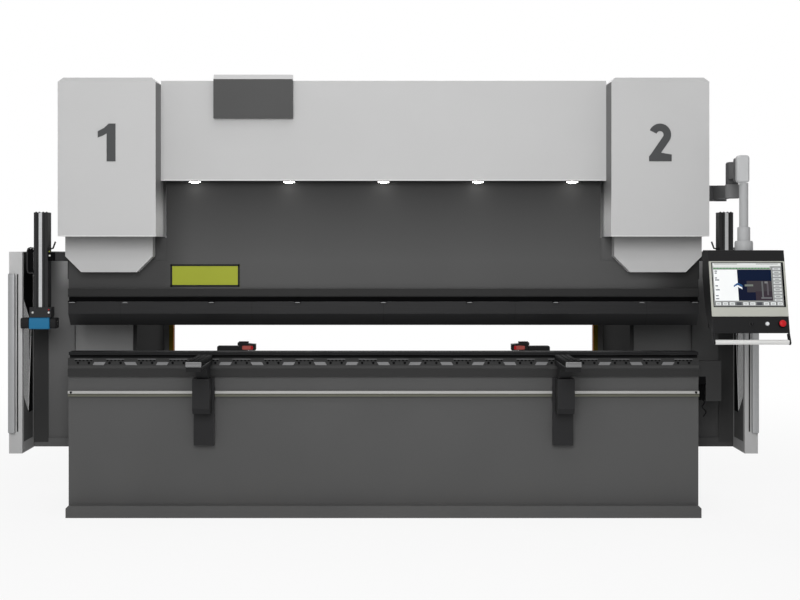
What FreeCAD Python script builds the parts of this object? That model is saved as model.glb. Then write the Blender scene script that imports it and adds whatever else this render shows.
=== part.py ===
import FreeCAD, Part
import os
import re
import Sketcher

# Press brake, in millimetres. X runs along the bed to the right, Y to the back, Z up.
# X = 0 is the middle of the bed, Y = 0 the bending line and Z = 0 the floor.
SIZES = {
    # bed and its foot
    "bed_half": 2000,
    "plate_half": 60,
    "bed_top": 885,
    "foot_tall": 76,
    "foot_out": 90,
    "foot_bevel": 16,
    # table, die rail and die
    "table_over": 30,
    "table_tall": 70,
    "table_step": 22,
    "rail_inset": 10,
    "rail_tall": 44,
    "die_tall": 39,
    "die_half": 60,
    "die_neck": 25,
    "die_shoulder": 20,
    "vee_half": 12,
    "wedge_pitch": 200,
    "wedge_long": 71,
    "wedge_tall": 20,
    "wedge_out": 8,
    # rail for the sheet supports
    "slide_drop": 93,
    "slide_tall": 35,
    "slide_out": 25,
    "slide_groove": 6,
    # punch, clamp bar and ram, from the die up
    "daylight": 168,
    "nose_tall": 76,
    "punch_tall": 76,
    "punch_inset": 8,
    "tang_half": 15,
    "punch_rear": 25,
    "clip_tall": 29,
    "clip_inset": 25,
    "clamp_tall": 54,
    "clamp_out": 20,
    "shoulder_tall": 179,
    "ram_clear": 20,
    "ram_cover": 358,
    "pad_pitch": 546,
    "pad_long": 41,
    "pad_out": 8,
    "pad_end": 50,
    "pad_free": 350,
    "sign_inset": 47,
    "sign_wide": 440,
    "sign_rise": 11,
    "sign_tall": 143,
    "sign_thick": 3,
    # side frames with their throat
    "frame_inset": 355,
    "frame_thick": 50,
    "frame_back": 1640,
    "frame_slope": 300,
    "frame_lip": 140,
    "throat_back": 400,
    "throat_lap": 85,
    "throat_drop": 60,
    # covers
    "sheet_thick": 4,
    "cover_over": 3,
    "cover_wide": 603,
    "cover_front": 350,
    "cover_back": 380,
    "cover_tall": 980,
    "cover_room": 150,
    "cover_slope": 28,
    "header_front": 150,
    "header_tall": 628,
    "header_lip": 40,
    "name_inset": 335,
    "name_wide": 497,
    "name_drop": 238,
    "name_rise": 6,
    "name_slope": 31,
    "name_out": 40,
    "lamp_pitch": 595,
    "lamp_half": 36,
    "lamp_deep": 30,
    "lamp_tall": 10,
    "apron_inset": 50,
    "apron_gap": 30,
    "apron_drop": 73,
    "apron_cut": 100,
    "apron_lap": 180,
    # cylinders and rods
    "barrel_radius": 130,
    "barrel_room": 330,
    "barrel_tall": 650,
    "rod_radius": 65,
    "rod_gap": 0.8,
    "rod_in": 350,
    "rod_flange": 100,
    "rod_plate": 30,
    # oil tank on the frames
    "tank_gap": 140,
    "tank_deep": 580,
    "tank_drop": 270,
    "tank_tall": 430,
    # side cabinets, guards and their doors
    "cabinet_over": 58,
    "cabinet_lap": 15,
    "cabinet_short": 340,
    "cabinet_low": 100,
    "cabinet_rise": 180,
    "guard_lap": 9,
    "guard_wide": 275,
    "guard_low": 378,
    "guard_tall": 1296,
    "guard_thick": 30,
    "guard_rim": 60,
    "door_lap": 7,
    "post_wide": 85,
    "stile_wide": 12,
    "door_gap": 15,
    "door_wide": 300,
    "post_deep": 35,
    "window_low": 247,
    "window_tall": 740,
    "window_slope": 110,
    "window_drop": 175,
    "pane_lap": 15,
    "pull_wide": 40,
    "pull_long": 1020,
    "pull_thick": 20,
    "pull_off": 25,
    "pull_rise": 136,
    "pull_foot": 126,
    "foot_wide": 40,
    "hinge_out": 18,
    "hinge_in": 15,
    "hinge_radius": 12,
    "hinge_tall": 50,
    "hinge_end": 150,
    "curtain_low": 400,
    "curtain_tall": 1100,
    "seat_gap": 0.3,
    # laser beams beside the ram
    "laser_out": 180,
    "laser_drop": 25,
    "head_tall": 76,
    "fork_tall": 63,
    "column_lower": 370,
    "column_upper": 235,
    "column_half": 45,
    "bracket_tall": 57,
    "bracket_foot": 120,
    "grip_tall": 152,
    "grip_wall": 18,
    # pendant and its arm
    "arm_rise": 78,
    "link_tall": 87,
    "elbow_tall": 137,
    "head_drop": 9,
    "head_rise": 15,
    "pivot_out": 147,
    "boss_radius": 43,
    "pin_radius": 15,
    "lug_thick": 6,
    "web_long": 85,
    "link_long": 360,
    "elbow_in": 10,
    "upper_long": 420,
    "mast_in": 35,
    "mast_long": 393,
    "mast_radius": 26,
    "base_tall": 54,
    "sleeve_tall": 81,
    "panel_front": 80,
    "panel_shift": 9,
    "panel_half": 220,
    "panel_foot": 109,
    "panel_tilt": 15,
    "panel_deep": 135,
    "panel_edge": 16,
    "screen_edge": 29,
    "screen_down": 75,
    "screen_tall": 250,
    "bezel_rim": 10,
    "bezel_foot": 55,
    "switch_up": 54,
    "grip_radius": 14,
    "grip_drop": 50,
    # sheet supports
    "support_x": 1128,
    "support_under": 78,
    "support_tall": 62,
    "support_reach": 660,
    "carriage_thick": 20,
    "carriage_deep": 140,
    "carriage_hang": 305,
    # back gauge
    "gauge_y": 690,
    "gauge_deep": 70,
    "gauge_drop": 78,
    "gauge_tall": 80,
    "gauge_bar": 40,
    "finger_x": 1012,
    "finger_front": 190,
    "finger_deep": 60,
    "finger_plate": 30,
    "finger_rise": 25,
    "post_size": 70,
    # small pieces at the right end of the bed
    "end_wide": 48,
    "end_flap": 97,
    "end_step": 103,
    "end_recess": 35,
}
# Places that follow from those sizes, each from the piece that carries it
PLACES = {
    "table_half": "plate_half + table_over",
    "table_top": "bed_top + table_tall",
    "rail_half": "table_half - rail_inset",
    "die_rail_top": "table_top + rail_tall",
    "die_top": "die_rail_top + die_tall",
    "slide_high": "bed_top - slide_drop",
    "slide_low": "slide_high - slide_tall",
    "punch_tip": "die_top + daylight",
    "punch_waist": "punch_tip + nose_tall",
    "punch_head": "punch_waist + punch_tall",
    "clamp_low": "punch_head + clip_tall",
    "ram_low": "clamp_low + clamp_tall",
    "ram_shoulder": "ram_low + shoulder_tall",
    "clamp_half": "plate_half + clamp_out",
    "punch_front": "clamp_half - punch_inset",
    "barrel_low": "ram_shoulder + barrel_room",
    "barrel_high": "barrel_low + barrel_tall",
    "rod_top": "barrel_low + rod_in",
    "cover_top": "barrel_high + cover_room",
    "cover_low": "cover_top - cover_tall",
    "header_low": "cover_top - header_tall",
    "ram_top": "header_low + ram_cover",
    "frame_in": "bed_half - frame_inset",
    "throat_low": "bed_top - throat_lap",
    "throat_high": "ram_shoulder - throat_drop",
    "cover_out": "bed_half + cover_over",
    "cover_in": "cover_out - cover_wide",
    "ram_inner": "cover_in - ram_clear",
    "sign_left": "-cover_in + sign_inset",
    "name_left": "-cover_in + name_inset",
    "name_low": "cover_top - name_drop",
    "name_high": "cover_top + name_rise",
    "apron_in": "cover_in + apron_inset",
    "apron_out": "cover_out - sheet_thick",
    "apron_front": "barrel_radius + apron_gap",
    "apron_low": "ram_shoulder - apron_drop",
    "apron_top": "cover_low + apron_lap",
    "cabinet_out": "cover_out + cabinet_over",
    "cabinet_front": "throat_back - cabinet_lap",
    "cabinet_back": "frame_back - cabinet_short",
    "cabinet_top": "throat_high + cabinet_rise",
    "guard_in": "cabinet_out - guard_lap",
    "guard_out": "guard_in + guard_wide",
    "guard_top": "guard_low + guard_tall",
    "door_in": "guard_out - door_lap",
    "door_out": "door_in + post_wide",
    "door_back": "cabinet_front - guard_thick - door_gap",
    "door_front": "door_back - door_wide",
    "window_front": "door_front + post_deep + 5",
    "hinge_x": "guard_out + hinge_out",
    "hinge_y": "cabinet_front - hinge_in",
    "pull_low": "guard_low + pull_rise",
    "laser_x": "bed_half + laser_out",
    "laser_low": "punch_tip - laser_drop",
    "head_top": "laser_low + head_tall",
    "fork_top": "head_top + fork_tall",
    "column_mid": "fork_top + column_lower",
    "column_top": "column_mid + column_upper",
    "arm_low": "column_top + arm_rise",
    "arm_high": "arm_low + link_tall",
    "elbow_top": "arm_high + elbow_tall",
    "mast_top": "arm_high - head_drop",
    "pivot_x": "cover_out + pivot_out",
    "elbow_x": "pivot_x - elbow_in",
    "elbow_y": "-link_long",
    "mast_x": "elbow_x - mast_in",
    "mast_y": "elbow_y - upper_long",
    "panel_y": "mast_y - panel_front",
    "panel_z": "mast_top - mast_long",
    "panel_mid": "mast_x - panel_shift",
    "screen_half": "panel_half - screen_edge",
    "panel_long": "screen_down + screen_tall + bezel_foot + panel_foot",
    "support_low": "bed_top + support_under",
    "support_top": "support_low + support_tall",
    "carriage_y": "-plate_half - slide_out - 15 - carriage_thick",
    "gauge_top": "die_top - gauge_drop",
    "gauge_low": "gauge_top - gauge_tall",
}
SIDES = ("right", "left")
PLAIN_WORDS = {"sin", "cos"}

doc = FreeCAD.newDocument("press_brake")
sheet = doc.addObject("Spreadsheet::Sheet", "Sizes")
for row, (word, size) in enumerate(SIZES.items(), start=1):
    sheet.set(f"A{row}", word)
    sheet.set(f"B{row}", str(size))
    sheet.setAlias(f"B{row}", word)
doc.recompute()
nodes = []


def bind(text):
    """Write a sum of named sizes and places as an expression on the sheet."""

    def cell(found):
        word = found.group(0)
        if word in PLACES:
            return f"({bind(PLACES[word])})"
        return word if word in PLAIN_WORDS else "Sizes." + word

    return re.sub(r"[a-z]\w+", cell, str(text))


def block(name, x, y, z):
    """A box between a low and a high value on each axis."""
    made = doc.addObject("Part::Box", name)
    for side, axis, (low, high) in zip(("Length", "Width", "Height"), "xyz", (x, y, z)):
        made.setExpression(side, bind(f"({high}) - ({low})"))
        made.setExpression(f"Placement.Base.{axis}", bind(low))
    return made


def prism(name, plane, outline, low, high):
    """A body with straight sides: an outline in a plane, drawn out from low to high."""
    body = doc.addObject("PartDesign::Body", name)
    planes = {item.Role: item for item in body.Origin.OriginFeatures}
    sketch = body.newObject("Sketcher::SketchObject", name + "_outline")
    sketch.AttachmentSupport = (planes[plane + "_Plane"], [""])
    sketch.MapMode = "FlatFace"
    start = f"-({high})" if plane == "XZ" else low
    sketch.setExpression("AttachmentOffset.Base.z", bind(start))
    count = len(outline)
    turn = FreeCAD.Rotation(FreeCAD.Vector(0, 0, 1), 360 / count)
    corners = [FreeCAD.Vector(500, 0, 0)]
    while len(corners) < count:
        corners.append(turn.multVec(corners[-1]))
    for at, corner in enumerate(corners):
        sketch.addGeometry(Part.LineSegment(corner, corners[(at + 1) % count]), False)
    for at, corner in enumerate(corners):
        sketch.addConstraint(Sketcher.Constraint("Coincident", at, 2, (at + 1) % count, 1))
        for kind, now, wanted in zip(("DistanceX", "DistanceY"), corner, outline[at]):
            index = sketch.addConstraint(Sketcher.Constraint(kind, at, 1, now))
            sketch.setExpression(f"Constraints[{index}]", bind(wanted))
    pad = body.newObject("PartDesign::Pad", name + "_pad")
    pad.Profile = sketch
    pad.setExpression("Length", bind(f"({high}) - ({low})"))
    return body


def bar(name, axis, across, low, high, radius):
    """A round bar along an axis; across gives its place on the other two axes."""
    made = doc.addObject("Part::Cylinder", name)
    turns = {"X": ((0, 1, 0), 90), "Y": ((1, 0, 0), -90), "Z": ((0, 0, 1), 0)}
    towards, angle = turns[axis]
    made.Placement.Rotation = FreeCAD.Rotation(FreeCAD.Vector(towards), angle)
    across = list(across)
    for letter in "XYZ":
        place = low if letter == axis else across.pop(0)
        made.setExpression(f"Placement.Base.{letter.lower()}", bind(place))
    made.setExpression("Height", bind(f"({high}) - ({low})"))
    made.setExpression("Radius", bind(radius))
    return made


def hip(name, x, y, z, slope):
    """A block that narrows by slope to its top, at the front and both sides."""
    made = doc.addObject("Part::Wedge", name)
    made.Placement.Rotation = FreeCAD.Rotation(FreeCAD.Vector(1, 0, 0), 90)
    places = {
        "Xmin": x[0],
        "Xmax": x[1],
        "X2min": f"{x[0]} + {slope}",
        "X2max": f"{x[1]} - {slope}",
        "Ymin": z[0],
        "Ymax": z[1],
        "Zmin": f"-({y[1]})",
        "Zmax": f"-({y[0]})",
        "Z2min": f"-({y[1]})",
        "Z2max": f"-({y[0]}) - {slope}",
    }
    for place, text in places.items():
        made.setExpression(place, bind(text))
    return made


def join(name, pieces):
    """One solid of several that meet."""
    made = doc.addObject("Part::MultiFuse", name)
    made.Shapes = pieces
    made.Refine = True
    return made


def cut(name, base, tools):
    """The base with the tools taken away."""
    tool = tools[0] if len(tools) == 1 else join(name + "_tools", tools)
    made = doc.addObject("Part::Cut", name)
    made.Base = base
    made.Tool = tool
    return made


def mirror(name, source):
    """The same piece on the left side."""
    made = doc.addObject("Part::Mirroring", name)
    made.Source = source
    made.Normal = FreeCAD.Vector(1, 0, 0)
    return made


def keep(label, made):
    """Give a finished piece the name of its node."""
    made.Label = label
    nodes.append(made)


def keep_pair(label, made):
    """Keep a piece of the right side and its mirror image on the left."""
    keep(label + "_right", made)
    keep(label + "_left", mirror(label + "_mirror", made))


def both(value):
    """From the negative to the positive of one value."""
    return (f"-({value})", value)


# Bed
bed_wide = both("bed_half")
bed_plate = block("bed_plate", bed_wide, both("plate_half"), (0, "bed_top"))
foot = [
    ("-bed_half", 0),
    ("bed_half", 0),
    ("bed_half", "foot_tall - foot_bevel"),
    ("bed_half - foot_bevel", "foot_tall"),
    ("-bed_half + foot_bevel", "foot_tall"),
    ("-bed_half", "foot_tall - foot_bevel"),
]
foot_bar = prism("foot", "XZ", foot, "-plate_half - foot_out", "-plate_half")
keep("bed", join("bed_body", [bed_plate, foot_bar]))
table = [
    ("-table_half", "bed_top"),
    ("table_half", "bed_top"),
    ("table_half", "table_top"),
    ("-rail_half", "table_top"),
    ("-rail_half", "table_top - table_step"),
    ("-table_half", "table_top - table_step"),
]
keep("table", prism("table_body", "YZ", table, *bed_wide))
die = [
    ("-die_neck", "die_rail_top"),
    ("die_neck", "die_rail_top"),
    ("die_neck", "die_top - die_shoulder"),
    ("die_half", "die_top - die_shoulder"),
    ("die_half", "die_top"),
    ("vee_half", "die_top"),
    ("0", "die_top - vee_half"),
    ("-vee_half", "die_top"),
    ("-die_half", "die_top"),
    ("-die_half", "die_top - die_shoulder"),
    ("-die_neck", "die_top - die_shoulder"),
]
keep("die", prism("die_body", "YZ", die, *bed_wide))

# Die rail with a strip of light wedges along its front
strip_front = "-rail_half - sheet_thick"
wedges = [
    block("rail_box", bed_wide, both("rail_half"), ("table_top", "die_rail_top")),
    block(
        "wedge_strip",
        bed_wide,
        (strip_front, "-rail_half"),
        ("table_top", "table_top + wedge_tall + 3"),
    ),
]
wedge_count = int((SIZES["bed_half"] - SIZES["wedge_long"]) / SIZES["wedge_pitch"])
for at in range(-wedge_count, wedge_count + 1):
    middle = f"{at} * wedge_pitch"
    wedges.append(
        block(
            f"wedge_{at + wedge_count}",
            (f"{middle} - wedge_long / 2", f"{middle} + wedge_long / 2"),
            (f"{strip_front} - wedge_out", strip_front),
            ("table_top + 2", "table_top + 2 + wedge_tall"),
        )
    )
keep("die_rail", join("wedge_row", wedges))

# Rail that carries the sheet supports
slide_front = "-plate_half - slide_out"
slide = [
    ("-plate_half", "slide_low"),
    (slide_front, "slide_low"),
    (slide_front, "slide_low + 10"),
    (f"{slide_front} + slide_groove", "slide_low + 12"),
    (f"{slide_front} + slide_groove", "slide_low + 16"),
    (slide_front, "slide_low + 18"),
    (slide_front, "slide_high"),
    ("-plate_half", "slide_high"),
]
keep("support_rail", prism("slide", "YZ", slide, *bed_wide))

# Ram, with its tools
ram = [
    ("-bed_half", "ram_low"),
    ("bed_half", "ram_low"),
    ("bed_half", "ram_shoulder"),
    ("ram_inner", "ram_shoulder"),
    ("ram_inner", "ram_top"),
    ("-ram_inner", "ram_top"),
    ("-ram_inner", "ram_shoulder"),
    ("-bed_half", "ram_shoulder"),
]
keep("ram", prism("ram_plate", "XZ", ram, *both("plate_half")))
clamp = [
    ("-punch_front", "clamp_low"),
    ("plate_half", "clamp_low"),
    ("plate_half", "ram_low"),
    ("-clamp_half", "ram_low"),
    ("-clamp_half", "clamp_low + 8"),
]
keep("clamp_bar", prism("clamp", "YZ", clamp, *bed_wide))
punch = [
    ("-tang_half", "clamp_low"),
    ("tang_half", "clamp_low"),
    ("tang_half", "punch_head"),
    ("punch_rear", "punch_head"),
    ("punch_rear", "punch_waist + 18"),
    ("4", "punch_tip + 10"),
    ("3", "punch_tip"),
    ("-3", "punch_tip"),
    ("-punch_front", "punch_waist"),
    ("-punch_front", "punch_head"),
    ("-tang_half", "punch_head"),
]
keep("punch", prism("punch_body", "YZ", punch, *bed_wide))
pad_z = ("punch_head - 12", "punch_head + 6")
tongue_z = ("punch_head", "punch_head + 6")
pad_y = ("-punch_front - pad_out", "-punch_front")
clip_front = "-punch_front + clip_inset"
clip_y = (clip_front, "-tang_half")
clips = [block("clip_strip", bed_wide, clip_y, ("punch_head", "clamp_low"))]
pad_count = int((SIZES["bed_half"] - SIZES["pad_free"]) / SIZES["pad_pitch"] - 0.5)
pad_spans = [("bed_half - pad_end", "bed_half"), ("-bed_half", "pad_end - bed_half")]
for at in range(-pad_count, pad_count + 1):
    middle = f"{at} * pad_pitch"
    pad_spans.append((f"{middle} - pad_long / 2", f"{middle} + pad_long / 2"))
for at, spread in enumerate(pad_spans):
    clips.append(block(f"clip_pad_{at}", spread, pad_y, pad_z))
    clips.append(block(f"clip_tongue_{at}", spread, (pad_y[0], clip_front), tongue_z))
keep("punch_clamps", join("clips", clips))
sign_x = ("sign_left", "sign_left + sign_wide")
sign_y = ("-plate_half - sign_thick", "-plate_half")
sign_z = ("ram_low + sign_rise", "ram_low + sign_rise + sign_tall")
sign = block("sign", sign_x, sign_y, sign_z)
keep("yellow_plate", sign)

# Side frames
frame = [
    ("plate_half", 0),
    ("frame_back", 0),
    ("frame_back", "cover_top - sheet_thick - frame_slope"),
    ("frame_back - frame_slope", "cover_top - sheet_thick"),
    ("frame_lip", "cover_top - sheet_thick"),
    ("frame_lip", "throat_high"),
    ("throat_back", "throat_high"),
    ("throat_back", "throat_low"),
    ("plate_half", "throat_low"),
]
frame_wide = ("frame_in", "frame_in + frame_thick")
keep_pair("frame", prism("frame_plate", "YZ", frame, *frame_wide))
keep(
    "oil_tank",
    block(
        "tank",
        both("frame_in"),
        ("cover_back + tank_gap", "cover_back + tank_gap + tank_deep"),
        ("cover_top - tank_drop - tank_tall", "cover_top - tank_drop"),
    ),
)

# Covers over the cylinders: open below and behind
outer_x = ("cover_in", "cover_out")
inner_x = ("cover_in + sheet_thick", "cover_out - sheet_thick")
outer_y = ("-cover_front", "cover_back")
inner_y = ("sheet_thick - cover_front", "cover_back + 10")
eaves = "cover_top - cover_slope"
outer = join(
    "housing_outer",
    [
        block("housing_walls", outer_x, outer_y, ("cover_low", eaves)),
        hip("housing_roof", outer_x, outer_y, (eaves, "cover_top"), "cover_slope"),
    ],
)
ceiling = (f"{eaves} - 1", "cover_top - sheet_thick")
inner = join(
    "housing_inner",
    [
        block("housing_room", inner_x, inner_y, ("cover_low - 10", f"{eaves} - 1")),
        hip("housing_attic", inner_x, inner_y, ceiling, "(cover_slope - 3)"),
    ],
)
keep_pair("housing", cut("housing", outer, [inner]))

# Header between them, a folded sheet
header = [
    ("-header_front", "header_low"),
    ("-header_front + header_lip", "header_low"),
    ("-header_front + header_lip", "header_low + sheet_thick"),
    ("-header_front + sheet_thick", "header_low + sheet_thick"),
    ("-header_front + sheet_thick", "cover_top - sheet_thick"),
    ("frame_lip", "cover_top - sheet_thick"),
    ("frame_lip", "cover_top"),
    ("-header_front", "cover_top"),
]
keep("header_cover", prism("header", "YZ", header, *both("cover_in")))
name_plate = [
    ("-header_front", "name_low"),
    ("-header_front", "name_high + name_slope"),
    ("-header_front - name_out + 25", "name_high + name_slope"),
    ("-header_front - name_out", "name_high"),
    ("-header_front - name_out", "name_low"),
]
keep("name_panel", prism("name", "YZ", name_plate, "name_left", "name_left + name_wide"))
lamp_y = ("-header_front + 6", "-header_front + 6 + lamp_deep")
lamps = [block("lamp_strip", both("ram_inner"), lamp_y, ("header_low - 6", "header_low"))]
lamp_room = SIZES["bed_half"] + SIZES["cover_over"] - SIZES["cover_wide"] - SIZES["ram_clear"]
lamp_count = int((lamp_room - SIZES["lamp_half"]) / SIZES["lamp_pitch"])
lamp_z = ("header_low - 6 - lamp_tall", "header_low - 6")
for at in range(-lamp_count, lamp_count + 1):
    middle = f"{at} * lamp_pitch"
    lamp_x = (f"{middle} - lamp_half", f"{middle} + lamp_half")
    lamps.append(block(f"lamp_{at + lamp_count}", lamp_x, lamp_y, lamp_z))
keep("lamp_bar", join("lamp_row", lamps))

# Cylinders on the front of the frames, and their rods on the ram
axis_x = "frame_in + frame_thick / 2"
barrel = join(
    "barrel",
    [
        bar("barrel_round", "Z", (axis_x, 0), "barrel_low", "barrel_high", "barrel_radius"),
        block(
            "barrel_block",
            (f"{axis_x} - barrel_radius", f"{axis_x} + barrel_radius"),
            (0, "frame_lip"),
            ("barrel_low + 100", "barrel_high - 100"),
        ),
    ],
)
bore = bar("bore", "Z", (axis_x, 0), "barrel_low - 10", "barrel_high - 40", "rod_radius + rod_gap")
keep_pair("cylinder", cut("cylinder", barrel, [bore]))
rod = join(
    "rod",
    [
        bar("rod_round", "Z", (axis_x, 0), "ram_shoulder", "rod_top", "rod_radius"),
        block(
            "rod_foot",
            (f"{axis_x} - rod_flange", f"{axis_x} + rod_flange"),
            both("plate_half"),
            ("ram_shoulder", "ram_shoulder + rod_plate"),
        ),
    ],
)
keep_pair("piston_rod", rod)

# Aprons that ride on the ram below the cylinder covers
apron = [
    ("apron_in + apron_cut", "apron_low"),
    ("apron_out - apron_cut", "apron_low"),
    ("apron_out", "apron_low + apron_cut"),
    ("apron_out", "apron_top"),
    ("apron_in", "apron_top"),
    ("apron_in", "apron_low + apron_cut"),
]
apron_solid = prism("apron_outer", "XZ", apron, "-apron_front", "-plate_half")
fold = "sheet_thick"
apron_inner = [
    ("apron_in + apron_cut", f"apron_low + {fold}"),
    ("apron_out - apron_cut", f"apron_low + {fold}"),
    (f"apron_out - {fold}", "apron_low + apron_cut"),
    (f"apron_out - {fold}", "apron_top + 10"),
    (f"apron_in + {fold}", "apron_top + 10"),
    (f"apron_in + {fold}", "apron_low + apron_cut"),
]
apron_room = prism("apron_inner", "XZ", apron_inner, "sheet_thick - apron_front", "0")
keep_pair("apron", cut("apron", apron_solid, [apron_room]))

# Side cabinets behind the throat
lip = ("cabinet_front", "throat_back")
cabinet = join(
    "cabinet",
    [
        block(
            "cabinet_box",
            ("frame_in + frame_thick", "cabinet_out"),
            ("cabinet_front", "cabinet_back"),
            ("cabinet_low", "cabinet_top"),
        ),
        block(
            "cabinet_lip",
            ("frame_in + frame_thick / 2", "frame_in + frame_thick"),
            lip,
            ("throat_low + 10", "throat_high - 10"),
        ),
    ],
)
keep_pair("side_cabinet", cabinet)
post_y = ("frame_back - post_size", "frame_back")
post_x = ("frame_in - post_size", "frame_in")
post_z = ("curtain_low", "curtain_low + curtain_tall")
keep_pair("light_curtain", block("curtain_post", post_x, post_y, post_z))

# Fixed back panel of each side guard, with the lower halves of the hinges
guard_z = ("guard_low", "guard_top")
guard_box = block(
    "guard_box", ("guard_in", "guard_out"), ("cabinet_front - guard_thick", "cabinet_front"), guard_z
)
guard_recess = block(
    "guard_recess",
    ("guard_in + 20", "guard_out - 20"),
    ("cabinet_front - guard_thick - 5", "cabinet_front - guard_thick + 10"),
    ("guard_low + guard_rim", "guard_top - guard_rim"),
)
guard = [cut("guard_panel", guard_box, [guard_recess])]
knuckle_at = ("hinge_x", "hinge_y")
knuckle_lows = ("guard_low + hinge_end", "guard_top - hinge_end - 2 * hinge_tall")
for at, low in enumerate(knuckle_lows):
    high = f"{low} + hinge_tall"
    guard.append(bar(f"knuckle_low_{at}", "Z", knuckle_at, low, high, "hinge_radius"))
    guard.append(
        block(
            f"leaf_low_{at}",
            ("guard_out", "hinge_x"),
            ("hinge_y - 5", "hinge_y + 5"),
            (low, high),
        )
    )
keep_pair("guard_back", join("guard", guard))

# Door of each side guard: post, skin with a slanted window, rails and hinge halves
skin_x = ("door_in", "door_in + sheet_thick")
window_z = "guard_low + window_low"
window = [
    ("window_front", f"{window_z} + window_tall"),
    ("window_front", f"{window_z} + window_slope"),
    ("window_front + 123", window_z),
    ("window_front + 199", f"{window_z} + window_tall - window_drop"),
]
skin = cut(
    "door_skin",
    block("skin_sheet", skin_x, ("door_front", "door_back"), guard_z),
    [prism("window_hole", "YZ", window, "door_in - 5", "door_in + 20")],
)
door_parts = [
    skin,
    block("door_post", ("door_in", "door_out"), ("door_front", "door_front + post_deep"), guard_z),
    block("door_stile", ("door_in", "door_in + stile_wide"), ("door_back - 30", "door_back"), guard_z),
    block(
        "door_top",
        ("door_in", "door_in + 25"),
        ("door_front", "door_back"),
        ("guard_top - guard_rim", "guard_top"),
    ),
    block(
        "door_foot",
        ("door_in", "door_in + 25"),
        ("door_front", "door_back"),
        ("guard_low", "guard_low + guard_rim"),
    ),
]
for at, start in enumerate(knuckle_lows):
    low = f"{start} + hinge_tall + seat_gap"
    high = f"{start} + 2 * hinge_tall"
    door_parts.append(
        bar(f"knuckle_high_{at}", "Z", knuckle_at, low, high, "hinge_radius")
    )
    leaf_x = ("hinge_x - 5", "hinge_x + 5")
    door_parts.append(block(f"leaf_high_{at}", leaf_x, ("door_back - 6", "hinge_y"), (low, high)))
    flange_x = ("door_in", "hinge_x + 5")
    door_parts.append(block(f"leaf_foot_{at}", flange_x, ("door_back - 6", "door_back"), (low, high)))
keep_pair("guard_door", join("door", door_parts))
pane = [
    ("window_front - 5", f"{window_z} + window_tall + pane_lap"),
    ("window_front - 5", f"{window_z} + window_slope - pane_lap - 5"),
    ("window_front + 133", f"{window_z} - pane_lap - 5"),
    ("window_front + 212", f"{window_z} + window_tall - window_drop + 8"),
]
pane_x = ("door_in + sheet_thick", "door_in + sheet_thick + 3")
keep_pair("guard_window", prism("pane", "YZ", pane, *pane_x))
pull_x = ("door_out - 3 - pull_wide", "door_out - 3")
pull_y = ("door_front - pull_off - pull_thick", "door_front - pull_off")
pull = [block("pull_bar", pull_x, pull_y, ("pull_low", "pull_low + pull_long"))]
foot_lows = ("pull_low + pull_foot", "pull_low + pull_long - pull_foot - 48")
for at, low in enumerate(foot_lows):
    foot_x = ("door_out - pull_wide + 7", "door_out - 13")
    foot_z = (low, f"{low} + foot_wide")
    pull.append(block(f"pull_foot_{at}", foot_x, ("door_front - pull_off", "door_front"), foot_z))
keep_pair("guard_handle", join("pull", pull))

# Laser sensor on each end of the ram
bracket_z = ("ram_shoulder - 5", "ram_shoulder - 5 + bracket_tall")
foot_z = ("ram_shoulder - bracket_foot", bracket_z[1])
slots = []
for at, along in enumerate(("laser_x - 23", "laser_x + 23")):
    for row, low in enumerate(("-column_half - 5", "column_half - 8")):
        slot_x = (f"{along} - 4", f"{along} + 4")
        slot_z = ("fork_top - 5", "column_top + 5")
        slots.append(block(f"column_slot_{at}_{row}", slot_x, (low, f"{low} + 13"), slot_z))
column_x = ("laser_x - column_half", "laser_x + column_half")
extrusion = block("column_bar", column_x, both("column_half"), ("fork_top", "column_top"))
column = [
    cut("column_extrusion", extrusion, slots),
    block("column_arm", ("bed_half", column_x[0]), both(40), bracket_z),
    block("column_foot", ("bed_half", "bed_half + 10"), both(40), foot_z),
    block("column_fork", ("laser_x - 64", "laser_x + 71"), both(50), ("head_top", "fork_top")),
]
grip_x = ("laser_x + 35", "laser_x + 88")
grip = cut(
    "laser_grip",
    block("grip_outer", grip_x, both(12), ("column_mid - grip_tall", "column_mid")),
    [
        block(
            "grip_inner",
            ("laser_x + 30", "laser_x + 88 - grip_wall"),
            both(20),
            ("column_mid - grip_tall + grip_wall", "column_mid - grip_wall"),
        )
    ],
)
keep_pair("laser_column", join("column", [*column, grip]))
head = block("head", ("laser_x - 95", "laser_x + 130"), both(50), ("laser_low", "head_top"))
keep_pair("laser_head", head)

# Pendant arm: bracket, two links, mast
link_low = "arm_low + seat_gap"
lug_low = ("arm_low - lug_thick", "arm_low")
lug_high = ("arm_high + seat_gap", "arm_high + seat_gap + lug_thick")
fork = [block("fork_plate", ("cover_out", "cover_out + 12"), both(50), (lug_low[0], lug_high[1]))]
fork.append(block("fork_web", ("cover_out", "cover_out + web_long"), both(30), (lug_low[0], lug_high[1])))
for at, lug in enumerate((lug_low, lug_high)):
    fork.append(block(f"fork_lug_{at}", ("cover_out", "pivot_x"), both(30), lug))
    fork.append(bar(f"fork_hub_{at}", "Z", ("pivot_x", 0), *lug, "boss_radius"))
fork.append(bar("fork_pin", "Z", ("pivot_x", 0), lug_low[0], lug_high[1], "pin_radius"))
bracket = join("arm_bracket", fork)
keep("arm_bracket", bracket)
link_x = ("elbow_x - boss_radius + 7", "elbow_x + boss_radius - 3")
link_a = join(
    "link_a",
    [
        bar("link_a_near", "Z", ("pivot_x", 0), link_low, "arm_high", "boss_radius"),
        bar("link_a_far", "Z", ("elbow_x", "elbow_y"), link_low, "arm_high", "boss_radius"),
        block("link_a_beam", link_x, ("elbow_y", 0), (link_low, "arm_high")),
    ],
)
pin_hole = bar("pin_hole", "Z", ("pivot_x", 0), "arm_low - 5", "arm_high + 5", "pin_radius + rod_gap")
keep("arm_link_lower", cut("link_a_bored", link_a, [pin_hole]))
upper_low = "arm_high + seat_gap"
head_high = "elbow_top + head_rise"
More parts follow.
